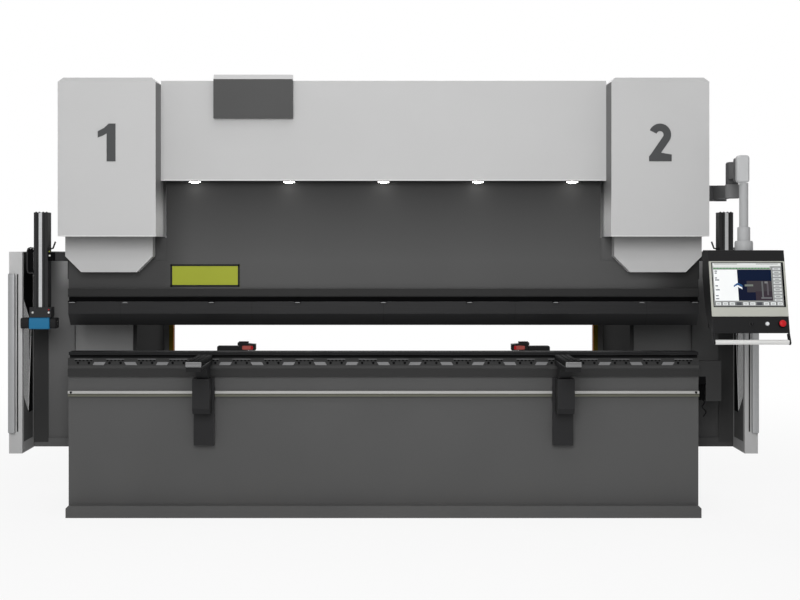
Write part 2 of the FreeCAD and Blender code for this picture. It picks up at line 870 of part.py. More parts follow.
link_b = join(
    "link_b",
    [
        bar("link_b_near", "Z", ("elbow_x", "elbow_y"), upper_low, "elbow_top", "boss_radius - 4"),
        bar("link_b_far", "Z", ("mast_x", "mast_y"), "mast_top", head_high, "boss_radius - 4"),
        prism(
            "link_b_beam",
            "XY",
            [
                ("elbow_x - boss_radius + 13", "elbow_y"),
                ("mast_x - boss_radius + 13", "mast_y"),
                ("mast_x + boss_radius - 13", "mast_y"),
                ("elbow_x + boss_radius - 13", "elbow_y"),
            ],
            "arm_high + 20",
            "elbow_top - 5",
        ),
    ],
)
keep("arm_link_upper", link_b)
mast_at = ("mast_x", "mast_y")
base_top = "panel_z + base_tall"
mast = join(
    "mast",
    [
        bar("mast_tube", "Z", mast_at, "panel_z", "mast_top - seat_gap", "mast_radius"),
        bar("mast_sleeve", "Z", mast_at, base_top, f"{base_top} + sleeve_tall", "mast_radius + 11"),
        bar("mast_base", "Z", mast_at, "panel_z", base_top, "mast_radius + 27"),
    ],
)
keep("pendant_mast", mast)


def on_panel(along, out):
    """A point of the tilted front: so far down from its top edge, and so far out from it."""
    return (
        f"panel_y - ({along}) * sin(panel_tilt) - ({out}) * cos(panel_tilt)",
        f"panel_z - ({along}) * cos(panel_tilt) + ({out}) * sin(panel_tilt)",
    )


def panel_plate(name, x, along, out):
    """A plate on the tilted front."""
    corners = [
        on_panel(along[0], out[0]),
        on_panel(along[1], out[0]),
        on_panel(along[1], out[1]),
        on_panel(along[0], out[1]),
    ]
    return prism(name, "YZ", corners, *x)


def panel_button(name, x, along, out, radius):
    """A round button on the tilted front."""
    made = doc.addObject("Part::Cylinder", name)
    made.Placement.Rotation = FreeCAD.Rotation(FreeCAD.Vector(1, 0, 0), 75)
    made.setExpression("Placement.Rotation.Angle", bind("90 - panel_tilt"))
    place = (x, *on_panel(along, out[0]))
    for axis, text in zip("xyz", place):
        made.setExpression(f"Placement.Base.{axis}", bind(text))
    made.setExpression("Height", bind(f"({out[1]}) - ({out[0]})"))
    made.setExpression("Radius", bind(radius))
    return made


panel_x = ("panel_mid - panel_half", "panel_mid + panel_half")
case = [
    on_panel(0, 0),
    on_panel("panel_long", 0),
    on_panel("panel_long", -30),
    on_panel("panel_long - 130", "-panel_deep"),
    ("panel_y + panel_deep", "panel_z - 160"),
    ("panel_y + panel_deep", "panel_z"),
]
case_body = prism("case", "YZ", case, *panel_x)
bezel_x = ("panel_mid - panel_half + panel_edge", "panel_mid + panel_half - panel_edge")
screen_x = ("panel_mid - screen_half", "panel_mid + screen_half")
screen_low = "screen_down + screen_tall"
bezel_low = f"{screen_low} + bezel_foot"
bezel = cut(
    "bezel",
    panel_plate("bezel_plate", bezel_x, ("screen_down - bezel_rim", bezel_low), (0, 6)),
    [panel_plate("bezel_hole", screen_x, ("screen_down", screen_low), (-1, 7))],
)
keep("pendant_case", join("case_and_bezel", [case_body, bezel]))
screen = panel_plate("screen", screen_x, ("screen_down", screen_low), (0, 3))
keep("pendant_screen", screen)
switch_row = "panel_long - switch_up"
keep("stop_button", panel_button("stop", "panel_mid + 179", switch_row, (0, 26), 20))
switches = [
    panel_plate(
        "switch_plate",
        ("panel_mid - 21", "panel_mid + 124"),
        (f"{switch_row} - 30", f"{switch_row} + 30"),
        (0, 2),
    ),
    panel_button("start", "panel_mid + 94", switch_row, (2, 12), 14),
    panel_button("key", "panel_mid + 4", switch_row, (2, 14), 12),
]
keep("pendant_switches", join("switches", switches))
grip_y = "panel_y - panel_long * sin(panel_tilt) - grip_radius"
grip_z = "panel_z - panel_long * cos(panel_tilt) - grip_drop"
cheek = [
    on_panel("panel_long", -30),
    on_panel("panel_long", 0),
    (f"{grip_y} - grip_radius - 2", f"{grip_z} + 10"),
    (f"{grip_y} - grip_radius - 2", f"{grip_z} - grip_radius - 2"),
    (f"{grip_y} + grip_radius + 2", f"{grip_z} - grip_radius - 2"),
]
rail_parts = [bar("grip_bar", "X", (grip_y, grip_z), *panel_x, "grip_radius")]
for at, low in enumerate((panel_x[0], f"{panel_x[1]} - 10")):
    rail_parts.append(prism(f"cheek_{at}", "YZ", cheek, low, f"{low} + 10"))
keep("pendant_handle", join("grip_rail", rail_parts))

# Sheet supports that slide on the rail
hook_y = (f"{slide_front} - 15", f"{slide_front} - seat_gap")
hook_x = ("support_x - 60", "support_x + 70")
claw_y = (hook_y[0], "-plate_half - 6")
rail_low = "slide_low - 22"
plate_z = ("slide_low - carriage_hang", "bed_top - 5")
rail_high = "slide_high + 23"
block_front = "carriage_y - carriage_deep"
carriage = join(
    "carriage",
    [
        block("carriage_plate", hook_x, ("carriage_y", hook_y[0]), plate_z),
        block("carriage_pad", hook_x, hook_y, (rail_low, rail_high)),
        block("carriage_hook", hook_x, claw_y, ("slide_high + seat_gap", rail_high)),
        block("carriage_keel", hook_x, claw_y, (rail_low, "slide_low - seat_gap")),
        prism(
            "carriage_block",
            "YZ",
            [
                ("carriage_y", "bed_top - 1"),
                (block_front, "bed_top - 1"),
                (block_front, "slide_low - 57"),
                (f"{block_front} + 25", "slide_low - 92"),
                ("carriage_y", "slide_low - 92"),
            ],
            "support_x - 46",
            "support_x + 61",
        ),
        prism(
            "carriage_stem",
            "YZ",
            [
                (f"{block_front} + 20", "bed_top - 1"),
                ("carriage_y - 10", "bed_top - 1"),
                ("carriage_y - 40", "support_low"),
                (f"{block_front} - 70", "support_low"),
            ],
            "support_x - 35",
            "support_x + 35",
        ),
    ],
)
keep_pair("support_carriage", carriage)
arm_x = ("support_x - 47", "support_x + 46")
arm_y = ("-support_reach", "-table_half - 20")
keep_pair("support_arm", block("support_bar", arm_x, arm_y, ("support_low", "support_top")))

# Back gauge: rails, beam and two fingers
rail_x = ("frame_in - 85", "frame_in")
rail_y = ("throat_back + 30", "frame_back - 140")
keep_pair("gauge_rail", block("rail_bar", rail_x, rail_y, ("gauge_low - gauge_bar", "gauge_low")))
beam_y = ("gauge_y - gauge_deep", "gauge_y + gauge_deep")
beam_z = ("gauge_low + seat_gap", "gauge_top")
keep("gauge_beam", block("beam", both("frame_in - 45"), beam_y, beam_z))
finger_x = ("finger_x - 67", "finger_x + 75")
finger_low = "gauge_top + seat_gap"
finger_high = f"{finger_low} + finger_plate"
arm_high = f"{finger_low} + finger_rise"
bar_back = "finger_front + finger_deep"
finger = join(
    "finger",
    [
        block("finger_foot", ("finger_x - 70", "finger_x + 75"), beam_y, (finger_low, finger_high)),
        block("finger_arm", finger_x, ("finger_front + 5", "gauge_y + 20"), (finger_low, arm_high)),
        block("finger_bar", finger_x, ("finger_front", bar_back), (finger_low, "die_top + 20")),
        prism(
            "finger_head",
            "YZ",
            [
                ("finger_front", "die_top - 10"),
                (bar_back, "die_top - 10"),
                (bar_back, "die_top + 38"),
                (f"{bar_back} - 10", "die_top + 48"),
                ("finger_front", "die_top + 48"),
            ],
            "finger_x - 177",
            "finger_x - 67",
        ),
        block(
            "finger_tip",
            ("finger_x - 161", "finger_x - 89"),
            ("finger_front - 10", "finger_front"),
            ("die_top - 5", "die_top + 24"),
        ),
    ],
)
keep_pair("gauge_finger", finger)

# Small pieces at the right end of the bed
end_x = ("bed_half", "bed_half + end_wide")
end_z = ("slide_low - 30", "table_top + 25")
end_head = block("end_head", end_x, ("-plate_half", "-10"), ("slide_low + end_step", end_z[1]))
end_room = block("end_room", end_x, ("-plate_half + end_recess", "-10"), end_z)
flap_x = ("bed_half + end_wide", "bed_half + end_wide + end_flap")
end_flap = block("end_flap", flap_x, ("-plate_half", "-10"), end_z)
keep("end_bracket", join("end_pieces", [end_head, end_room, end_flap]))

doc.recompute()
os.makedirs("parts", exist_ok=True)
for thing in doc.Objects:
    if "Invalid" in thing.State or "Error" in thing.State:
        raise RuntimeError(f"{thing.Label}: {thing.State}")
for node in nodes:
    if node.Shape.isNull() or not node.Shape.isValid():
        raise RuntimeError(f"{node.Label}: no valid shape")
    node.Shape.exportStep(f"parts/{node.Label}.step")
print(f"{len(nodes)} nodes written")
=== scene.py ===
"""Looks of a hydraulic press brake: finishes, lettering, lamps, screen and small parts on the CAD frame."""

import logging
import math
from dataclasses import dataclass, replace
from enum import Enum

import bmesh
import bpy
import numpy as np
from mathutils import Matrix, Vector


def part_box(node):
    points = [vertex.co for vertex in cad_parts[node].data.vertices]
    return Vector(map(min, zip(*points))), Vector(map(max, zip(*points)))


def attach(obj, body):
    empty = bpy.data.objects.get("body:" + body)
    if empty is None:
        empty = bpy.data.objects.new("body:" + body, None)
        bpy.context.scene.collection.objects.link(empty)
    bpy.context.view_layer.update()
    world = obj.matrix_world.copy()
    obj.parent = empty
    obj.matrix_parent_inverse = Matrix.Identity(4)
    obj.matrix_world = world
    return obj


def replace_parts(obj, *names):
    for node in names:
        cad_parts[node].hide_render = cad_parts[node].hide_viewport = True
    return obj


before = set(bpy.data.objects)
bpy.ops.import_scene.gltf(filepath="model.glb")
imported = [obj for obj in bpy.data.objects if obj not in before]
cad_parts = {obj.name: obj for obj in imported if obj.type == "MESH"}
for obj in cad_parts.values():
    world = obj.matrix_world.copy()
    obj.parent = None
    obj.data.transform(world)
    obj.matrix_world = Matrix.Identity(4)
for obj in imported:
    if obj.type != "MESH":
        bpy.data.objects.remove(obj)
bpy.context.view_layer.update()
LOG = logging.getLogger("press_brake")
X, Y, Z = range(3)
Span = tuple[float, float]
Vec = tuple[float, float, float]
Socket = bpy.types.NodeSocket


class Side(Enum):
    """The two ends of the machine, with the sign of X there."""

    LEFT = -1
    RIGHT = 1

    def node(self, name: str) -> str:
        """Name of the CAD node of this side."""
        return f"{name}_{self.name.lower()}"

    def x(self, *away: float) -> list[float]:
        """Distances from the middle as values of X on this side, the lowest first."""
        return sorted(self.value * part for part in away)


class Grain(Enum):
    """How a surface was worked."""

    POWDER = "powder"
    BRUSHED = "brushed"
    MOULDED = "moulded"


def linear(red: int, green: int, blue: int) -> Vec:
    """Turn a colour of 0 to 255 into the linear values that a shader takes.

    Args:
        red: level of red.
        green: level of green.
        blue: level of blue.

    Returns:
        The linear colour.
    """
    part = np.array([red, green, blue]) / 255
    curve = ((part + 0.055) / 1.055) ** 2.4
    return tuple(float(value) for value in np.where(part <= 0.04045, part / 12.92, curve))


def grey(level: int) -> Vec:
    """Linear values of a neutral grey of 0 to 255."""
    return linear(level, level, level)


def spans(node: str) -> tuple[Span, Span, Span]:
    """Lowest and highest X, Y and Z of a CAD node, in metres."""
    return tuple((float(low), float(high)) for low, high in zip(*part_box(node)))


class Graph:
    """A node tree that is filled in short calls."""

    def __init__(self, tree: bpy.types.NodeTree) -> None:
        """Keep the tree."""
        self.tree = tree

    def fill(self, inputs: object, values: dict) -> None:
        """Write plain values to a node's inputs, and link sockets there.

        Args:
            inputs: the node's inputs.
            values: input name or index, and a value or socket for it.
        """
        for key, value in values.items():
            if isinstance(value, Socket):
                self.tree.links.new(value, inputs[key])
            else:
                inputs[key].default_value = value

    def add(self, kind: str, inputs: dict | None = None, **settings: object) -> bpy.types.Node:
        """Add a node.

        Args:
            kind: the node's type without "ShaderNode".
            inputs: input name or index, and a value or socket for it.
            settings: the node's own properties.

        Returns:
            The new node.
        """
        made = self.tree.nodes.new("ShaderNode" + kind)
        for name, value in settings.items():
            setattr(made, name, value)
        self.fill(made.inputs, inputs or {})
        return made

    def math(self, operation: str, *values: object) -> Socket:
        """Result of a Math node on one to three values."""
        return self.add("Math", dict(enumerate(values)), operation=operation).outputs[0]

    def noise(self, vector: Socket, scale: object, detail: float) -> Socket:
        """Value of a noise texture."""
        return self.add("TexNoise", {"Vector": vector, "Scale": scale, "Detail": detail}).outputs[0]

    def ramp(self, value: Socket, low: float, high: float) -> Socket:
        """Zero at low, one at high, and smooth between them."""
        ends = {"Value": value, "From Min": low, "From Max": high}
        return self.add("MapRange", ends, interpolation_type="SMOOTHSTEP").outputs[0]

    def share(self, value: Socket) -> Socket:
        """The value, kept between zero and one."""
        return self.add("Clamp", {0: value}).outputs[0]

    def blend(self, mask: object, first: object, second: object) -> Socket:
        """Mix two colours.

        Args:
            mask: zero for the first colour, one for the second.
            first: a colour as a tuple, or a socket.
            second: the same.

        Returns:
            The mixed colour.
        """
        first, second = ((*part, 1.0) if isinstance(part, tuple) else part for part in (first, second))
        return self.add("Mix", {0: mask, 6: first, 7: second}, data_type="RGBA").outputs[2]

    def split(self, vector: Socket) -> list[Socket]:
        """X, Y and Z of a vector."""
        return list(self.add("SeparateXYZ", {0: vector}).outputs)

    def group(self, tree: bpy.types.NodeTree, vector: Socket, **values: object) -> object:
        """Outputs of a shared node group, placed with its own values."""
        return self.add("Group", {"Vector": vector, **values}, node_tree=tree).outputs


def new_group(name: str, numbers: tuple, outputs: tuple, vectors: tuple = ("Vector",)) -> tuple:
    """Start a node group with named sockets.

    Args:
        name: the group's name.
        numbers: names of its inputs that are numbers.
        outputs: names of its outputs, all numbers.
        vectors: names of its inputs that are vectors.

    Returns:
        The group, its Graph, its inputs by name and the inputs of its output node.
    """
    tree = bpy.data.node_groups.new(name, "ShaderNodeTree")
    rows = [("Vector", "INPUT", name) for name in vectors] + [("Float", "INPUT", name) for name in numbers]
    for kind, way, socket in rows + [("Float", "OUTPUT", name) for name in outputs]:
        tree.interface.new_socket(socket, in_out=way, socket_type="NodeSocket" + kind)
    entry, leave = (tree.nodes.new("NodeGroup" + end) for end in ("Input", "Output"))
    return tree, Graph(tree), entry.outputs, leave.inputs


class Effects:
    """Node groups that several finishes share, each built once."""

    def __init__(self) -> None:
        """Build the groups."""
        self._grain()
        self._edges()
        self._grime()
        self._streaks()
        self._seams()
        self._painted_shade()

    def _grain(self) -> None:
        """Fine pits of a powder coat, and a slow drift of tone across the sheet."""
        self.grain, graph, given, leave = new_group("powder_grain", ("Scale", "Depth"), ("Height", "Tone"))
        fine = graph.noise(given["Vector"], given["Scale"], 3.0)
        slow = graph.noise(given["Vector"], 1.1, 2.0)
        graph.fill(leave, {"Height": graph.math("MULTIPLY", fine, given["Depth"]),
                           "Tone": graph.math("MULTIPLY_ADD", fine, 0.25, slow)})

    def _edges(self) -> None:
        """Mask of the outer edges, broken up where hands and sheets rub; it also lays a painted highlight
        along the edges.
        """
        self.edges, graph, given, leave = new_group("rubbed_and_highlit_edges", ("Radius",), ("Mask",))
        rounded = graph.add("Bevel", {"Radius": given["Radius"]}, samples=4).outputs[0]
        flat = graph.add("NewGeometry").outputs["Normal"]
        dot = graph.add("VectorMath", {0: rounded, 1: flat}, operation="DOT_PRODUCT").outputs["Value"]
        sharp = graph.ramp(graph.math("SUBTRACT", 1.0, dot), 0.02, 0.22)
        broken = graph.ramp(graph.noise(given["Vector"], 9.0, 4.0), 0.35, 0.62)
        graph.fill(leave, {"Mask": graph.math("MULTIPLY", sharp, broken)})

    def _grime(self) -> None:
        """Dust that gathers towards the floor, in soft patches."""
        self.grime, graph, given, leave = new_group("floor_grime", ("Reach",), ("Mask",))
        height = graph.split(given["Vector"])[2]
        near = graph.share(graph.math("SUBTRACT", 1.0, graph.math("DIVIDE", height, given["Reach"])))
        patch = graph.ramp(graph.noise(given["Vector"], 3.5, 5.0), 0.3, 0.75)
        graph.fill(leave, {"Mask": graph.math("MULTIPLY", near, patch)})

    def _streaks(self) -> None:
        """Lines left by grinding or drawing, long along X."""
        self.streaks, graph, given, leave = new_group("ground_streaks", ("Depth",), ("Height", "Tone"),
                                                      ("Vector", "Stretch"))
        drawn = graph.add("VectorMath", {0: given["Vector"], 1: given["Stretch"]}, operation="MULTIPLY")
        tone = graph.noise(drawn.outputs[0], 1.0, 4.0)
        graph.fill(leave, {"Height": graph.math("MULTIPLY", tone, given["Depth"]), "Tone": tone})

    def _seams(self) -> None:
        """Thin lines across a long tool where two lengths of it meet, a pitch apart along X."""
        self.seams, graph, given, leave = new_group("tool_seams", ("Pitch", "Width"), ("Mask",))
        half = graph.math("MULTIPLY", given["Pitch"], 0.5)
        low = graph.math("MULTIPLY", half, -1.0)
        away = graph.math("ABSOLUTE", graph.math("WRAP", graph.split(given["Vector"])[0], half, low))
        graph.fill(leave, {"Mask": graph.math("LESS_THAN", away, given["Width"])})

    def _painted_shade(self) -> None:
        """Painted shade that deepens from one height to another, as under an overhang."""
        self.fade, graph, given, leave = new_group("painted_height_shade", ("Start", "Full", "Depth"), ("Mask",))
        part = graph.math("SUBTRACT", graph.split(given["Vector"])[2], given["Start"])
        whole = graph.math("SUBTRACT", given["Full"], given["Start"])
        mask = graph.share(graph.math("DIVIDE", part, whole))
        graph.fill(leave, {"Mask": graph.math("MULTIPLY", mask, given["Depth"])})


@dataclass(frozen=True)
class Matter:
    """A named material that is built once."""

    name: str

    def wire(self, graph: Graph, shader: object, shared: Effects, vector: Socket) -> None:
        """Fill the shader's inputs: nothing on a bare material."""

    def material(self, shared: Effects) -> bpy.types.Material:
        """Build the material once and return it after that.

        Args:
            shared: the shared node groups.

        Returns:
            The material.
        """
        made = bpy.data.materials.get(self.name)
        if not made:
            made = bpy.data.materials.new(self.name)
            made.use_nodes = True
            graph = Graph(made.node_tree)
            vector = graph.add("TexCoord").outputs["Object"]
            self.wire(graph, made.node_tree.nodes["Principled BSDF"].inputs, shared, vector)
        return made


@dataclass(frozen=True)
class Finish(Matter):
    """How one surface is made: its colour, gloss and grain, rubbed edges with a painted highlight, painted
    shade and dust.
    """

    colour: Vec
    roughness: float = 0.5
    metallic: float = 0.0
    grain: Grain = Grain.POWDER
    grain_scale: float = 900.0
    grain_depth: float = 0.35
    drift: float = 0.10
    wear_and_highlight: float = 0.0
    wear_and_highlight_colour: Vec = (0.5, 0.5, 0.5)
    wear_and_highlight_radius: float = 0.004
    grime: float = 0.0
    grime_reach: float = 1.0
    grime_colour: Vec = (0.16, 0.15, 0.13)
    seam_pitch: float = 0.0
    seam_width: float = 0.0008
    seam_colour: Vec = (0.002, 0.002, 0.002)
    coat: float = 0.0
    specular: float = 0.14
    painted_shade_start: float = 0.0
    painted_shade_full: float = 1.0
    painted_shade_depth: float = 0.0
    painted_shade_colour: Vec = (0.004, 0.004, 0.004)
    glow: Vec | None = None
    glow_strength: float = 0.0

    def layers(self, graph: Graph, shared: Effects, vector: Socket, colour: Socket) -> Socket:
        """Seams, rubbed edges with a painted highlight, painted shade and dust over the base colour.

        Args:
            graph: the material's graph.
            shared: the shared node groups.
            vector: object coordinates.
            colour: the base colour.

        Returns:
            The colour with its layers.
        """
        if self.seam_pitch:
            seam = graph.group(shared.seams, vector, Pitch=self.seam_pitch, Width=self.seam_width)
            colour = graph.blend(seam["Mask"], colour, self.seam_colour)
        # Rubbed edges: lighter where edges are rubbed, and a painted highlight along every sharp edge.
        if self.wear_and_highlight:
            edge = graph.group(shared.edges, vector, Radius=self.wear_and_highlight_radius)
            colour = graph.blend(graph.math("MULTIPLY", edge["Mask"], self.wear_and_highlight), colour, self.wear_and_highlight_colour)
        # Painted shade: the colour darkens between two heights, as under an overhang.
        if self.painted_shade_depth:
            fade = graph.group(shared.fade, vector, Start=self.painted_shade_start, Full=self.painted_shade_full,
                               Depth=self.painted_shade_depth)
            colour = graph.blend(fade["Mask"], colour, self.painted_shade_colour)
        if self.grime:
            dust = graph.group(shared.grime, vector, Reach=self.grime_reach)
            fall = graph.math("MULTIPLY", dust["Mask"], self.grime)
            colour = graph.blend(fall, colour, self.grime_colour)
        return colour

    def wire(self, graph: Graph, shader: object, shared: Effects, vector: Socket) -> None:
        """Fill the shader's inputs from the grain, its layers, and the bands, painted light and painted
        shade that paint lays over them.

        Args:
            graph: the material's graph.
            shader: the shader's inputs.
            shared: the shared node groups.
            vector: object coordinates.
        """
        if self.grain is Grain.BRUSHED:
            stretch = (2.5, self.grain_scale, self.grain_scale)
            work = graph.group(shared.streaks, vector, Stretch=stretch, Depth=self.grain_depth)
        else:
            work = graph.group(shared.grain, vector, Scale=self.grain_scale, Depth=self.grain_depth)
        darker = tuple(value * (1 - self.drift) for value in self.colour)
        lighter = tuple(min(1.0, value * (1 + self.drift)) for value in self.colour)
        colour = graph.blend(graph.ramp(work["Tone"], 0.3, 0.9), darker, lighter)
        colour = self.layers(graph, shared, vector, colour)
        bump = graph.add("Bump", {"Height": work["Height"], "Strength": 0.25, "Distance": 0.001})
        graph.fill(shader, {
            "Base Color": self.paint(graph, vector, colour),
            "Roughness": graph.math("MULTIPLY_ADD", work["Tone"], 0.12, self.roughness - 0.06),
            "Normal": bump.outputs[0],
            "Metallic": self.metallic,
            "Coat Weight": self.coat,
            "Specular IOR Level": self.specular,
        })
        if self.glow:
            graph.fill(shader, {"Emission Color": (*self.glow, 1.0),
                                "Emission Strength": self.glow_strength})

    def paint(self, graph: Graph, vector: Socket, colour: Socket) -> Socket:
        """Bands, painted light and painted shade over the colour: none on a plain finish."""
        return colour

    def turned(self, kind: type, **changes: object) -> "Finish":
        """The same finish as another kind, with some values changed."""
        return kind(**{**vars(self), **changes})


@dataclass(frozen=True)
class BandedFinish(Finish):
    """A finish whose colour changes in a band of height, such as the painted highlight on a folded lower
    lip and the painted shade in a die's groove.
    """

    band_low: float = 0.0
    band_high: float = 0.01
    band_colour: Vec = (0.6, 0.6, 0.6)

    def paint(self, graph: Graph, vector: Socket, colour: Socket) -> Socket:
        """Lay the band over the colour.

        Args:
            graph: the material's graph.
            vector: object coordinates.
            colour: the colour below.

        Returns:
            The colour with the band.
        """
        height = graph.split(vector)[2]
        above = graph.math("GREATER_THAN", height, self.band_low)
        below = graph.math("LESS_THAN", height, self.band_high)
        return graph.blend(graph.math("MULTIPLY", above, below), colour, self.band_colour)


@dataclass(frozen=True)
class CoverFinish(BandedFinish):
    """The banded finish with painted shade on the faces that look at the machine's middle."""

    inner_half: float = 1.401
    painted_inner_shade: Vec = (0.19, 0.19, 0.19)
    painted_inner_foot_light: Vec = (0.80, 0.80, 0.80)
    foot: Span = (1.86, 2.10)

    def paint(self, graph: Graph, vector: Socket, colour: Socket) -> Socket:
        """Lay the band and the painted shade of the inner faces, painted lighter at its foot, over the
        colour.

        Args:
            graph: the material's graph.
            vector: object coordinates.
            colour: the colour below.

        Returns:
            The colour with the band and the painted shade.
        """
        across, _, height = graph.split(vector)
        near = graph.math("COMPARE", graph.math("ABSOLUTE", across), self.inner_half - 0.001, 0.0012)
        # Painted shade on the inner side faces, painted lighter towards their foot.
        sheet = graph.blend(graph.ramp(height, *self.foot), self.painted_inner_foot_light, self.painted_inner_shade)
        return graph.blend(near, super().paint(graph, vector, colour), sheet)


@dataclass(frozen=True)
class CornerFinish(Finish):
    """A finish with painted light that grows towards its upper inner corner."""

    painted_corner_light: Vec = (0.70, 0.70, 0.70)
    corner_x: Span = (2.215, 2.105)
    corner_z: Span = (1.40, 1.60)

    def paint(self, graph: Graph, vector: Socket, colour: Socket) -> Socket:
        """Lay the painted light of the corner over the colour.

        Args:
            graph: the material's graph.
            vector: object coordinates.
            colour: the colour below.

        Returns:
            The colour with the painted corner light.
        """
        across, _, height = graph.split(vector)
        inward = graph.math("MULTIPLY", graph.math("ABSOLUTE", across), -1.0)
        inward = graph.ramp(inward, -self.corner_x[0], -self.corner_x[1])
        mask = graph.math("MULTIPLY", inward, graph.ramp(height, *self.corner_z))
        return graph.blend(mask, colour, self.painted_corner_light)


@dataclass(frozen=True)
class EndShadeFinish(Finish):
    """A finish that darkens towards the machine's two ends, where covers stand over it."""

    left_end: Span = (1.19, 1.42)
    right_end: Span = (1.58, 1.92)
    left_share: float = 0.42
    right_share: float = 0.80
    end_colour: Vec = (0.003, 0.003, 0.003)

    def paint(self, graph: Graph, vector: Socket, colour: Socket) -> Socket:
        """Lay the darker ends over the colour.

        Args:
            graph: the material's graph.
            vector: object coordinates.
            colour: the colour below.

        Returns:
            The colour with its darker ends.
        """
        across = graph.split(vector)[0]
        left = graph.ramp(graph.math("MULTIPLY", across, -1.0), *self.left_end)
        right = graph.math("MULTIPLY", graph.ramp(across, *self.right_end), self.right_share)
        mask = graph.math("MULTIPLY_ADD", left, self.left_share, right)
        return graph.blend(mask, colour, self.end_colour)


@dataclass(frozen=True)
class GlassFinish(Matter):
    """A tinted clear sheet."""

    colour: Vec
    alpha: float

    def wire(self, graph: Graph, shader: object, shared: Effects, vector: Socket) -> None:
        """Fill the shader's inputs, with faint wiping streaks in the roughness.

        Args:
            graph: the material's graph.
            shader: the shader's inputs.
            shared: the shared node groups.
            vector: object coordinates.
        """
        tone = graph.group(shared.streaks, vector, Stretch=(14.0, 14.0, 2.0), Depth=1.0)["Tone"]
        paler = tuple(1.2 * part for part in self.colour)
        graph.fill(shader, {"Base Color": graph.blend(tone, self.colour, paler), "Alpha": self.alpha,
                            "Roughness": graph.math("MULTIPLY_ADD", tone, 0.15, 0.05)})


@dataclass(frozen=True)
class PaintedScreen(Matter):
    """A lit screen whose picture is a colour attribute of its mesh."""

    attribute: str = "shade"

    def wire(self, graph: Graph, shader: object, shared: Effects, vector: Socket) -> None:
        """Fill the shader's inputs from the attribute, with smears in the roughness.

        Args:
            graph: the material's graph.
            shader: the shader's inputs.
            shared: the shared node groups.
            vector: object coordinates.
        """
        picture = graph.add("Attribute", attribute_name=self.attribute).outputs["Color"]
        smear = graph.group(shared.grain, vector, Scale=60.0, Depth=0.1)["Tone"]
        graph.fill(shader, {"Base Color": picture, "Emission Color": picture, "Emission Strength": 0.22,
                            "Specular IOR Level": 0.08,
                            "Roughness": graph.math("MULTIPLY_ADD", smear, 0.1, 0.15)})


COVER = Finish("cover_powder", grey(198), grain_scale=700.0, grain_depth=0.5, drift=0.03, wear_and_highlight=0.3,
               wear_and_highlight_colour=grey(226))
# Painted highlight along the folded lower lip of the covers and the header.
LIP_HIGHLIGHT = linear(226, 226, 225)
BODY_GREY = Finish("body_grey_paint", grey(89), 0.55, drift=0.07, wear_and_highlight=0.35,
                   wear_and_highlight_colour=linear(128, 128, 126), grime=0.07, grime_reach=0.5)
BLACK = Finish("black_satin_paint", linear(20, 20, 21), drift=0.2, wear_and_highlight=0.35, wear_and_highlight_colour=grey(70))
DEEP_GREY = Finish("deep_grey_paint", linear(46, 46, 47), drift=0.12, wear_and_highlight=0.45, wear_and_highlight_colour=grey(92))
TOOL_STEEL = Finish("blued_tool_steel", linear(62, 62, 64), 0.42, 0.6, Grain.BRUSHED, 420.0, 0.5, 0.2,
                    wear_and_highlight=0.5, wear_and_highlight_colour=grey(110), seam_pitch=0.835)
BRIGHT_STEEL = Finish("ground_bright_steel", linear(206, 206, 203), 0.3, 0.8, Grain.BRUSHED, 500.0,
                      0.5, 0.12)
ANODISED = Finish("satin_anodised_bar", linear(186, 187, 188), 0.36, 0.5, Grain.BRUSHED, 380.0,
                  0.4, 0.08)
DULL_STEEL = Finish("dull_wedge_steel", linear(120, 120, 121), 0.45, 0.4, Grain.BRUSHED, 300.0, 0.4)
SAFETY_YELLOW = Finish("safety_yellow_paint", linear(196, 120, 22), 0.45, drift=0.08)
SIGN_YELLOW = Finish("olive_yellow_enamel", linear(158, 166, 44), 0.35, drift=0.06, coat=0.15)
MOULDED = Finish("moulded", grey(24), grain=Grain.MOULDED)
LETTER_GREY = replace(MOULDED, name="letter_grey_vinyl", colour=linear(74, 75, 76), roughness=0.45,
                      drift=0.05)
MOULDED_BLACK = replace(MOULDED, name="moulded_black", colour=linear(24, 24, 25), grain_scale=1400.0,
                        grain_depth=0.7, drift=0.12)
LINER_BLACK = replace(MOULDED, name="liner_black", colour=linear(9, 9, 10), roughness=0.8, specular=0.05)
BEZEL = replace(MOULDED, name="bezel_grey", colour=linear(190, 191, 182), roughness=0.45, drift=0.03)
# The arm's castings share one grey: ARM_DARK is a copy darkened as painted shade, the lower link has a
# lighter shaded copy, and the crown has a copy lightened as painted light.
ARM_GREY = replace(MOULDED, name="arm_cast_grey", colour=linear(178, 179, 180), roughness=0.42, drift=0.04)
ARM_DARK = replace(MOULDED, name="arm_shadow_grey", colour=linear(86, 86, 87), drift=0.08, wear_and_highlight=0.2,
                   wear_and_highlight_colour=grey(120))
LASER_BLUE = replace(MOULDED, name="laser_blue_shell", colour=linear(42, 116, 158), roughness=0.34)
STOP_RED = replace(MOULDED, name="stop_red_plastic", colour=linear(200, 32, 38), roughness=0.25, drift=0.06)
FINGER_RED = Finish("finger_red_anodised", linear(186, 92, 84), 0.35, 0.2, Grain.BRUSHED, 300.0, 0.4)
BUTTON_WHITE = replace(MOULDED, name="button_white", colour=linear(232, 234, 236), roughness=0.3,
                       drift=0.02)
LAMP_GLOW = Finish("lamp_diffuser", linear(250, 250, 246), 0.4, glow=(1.0, 0.99, 0.95), glow_strength=16.0)
LENS = replace(MOULDED, name="dark_lens", colour=linear(18, 10, 16), roughness=0.12, drift=0.3, coat=0.5)
# OLIVE paints the yellow curtain posts' face as it looks in shade, and is the tank's oil-level glass.
OLIVE = Finish("olive_shaded_post_and_level_glass", linear(132, 114, 30))
SMOKED = GlassFinish("smoked_pane", linear(60, 62, 62), 0.6)


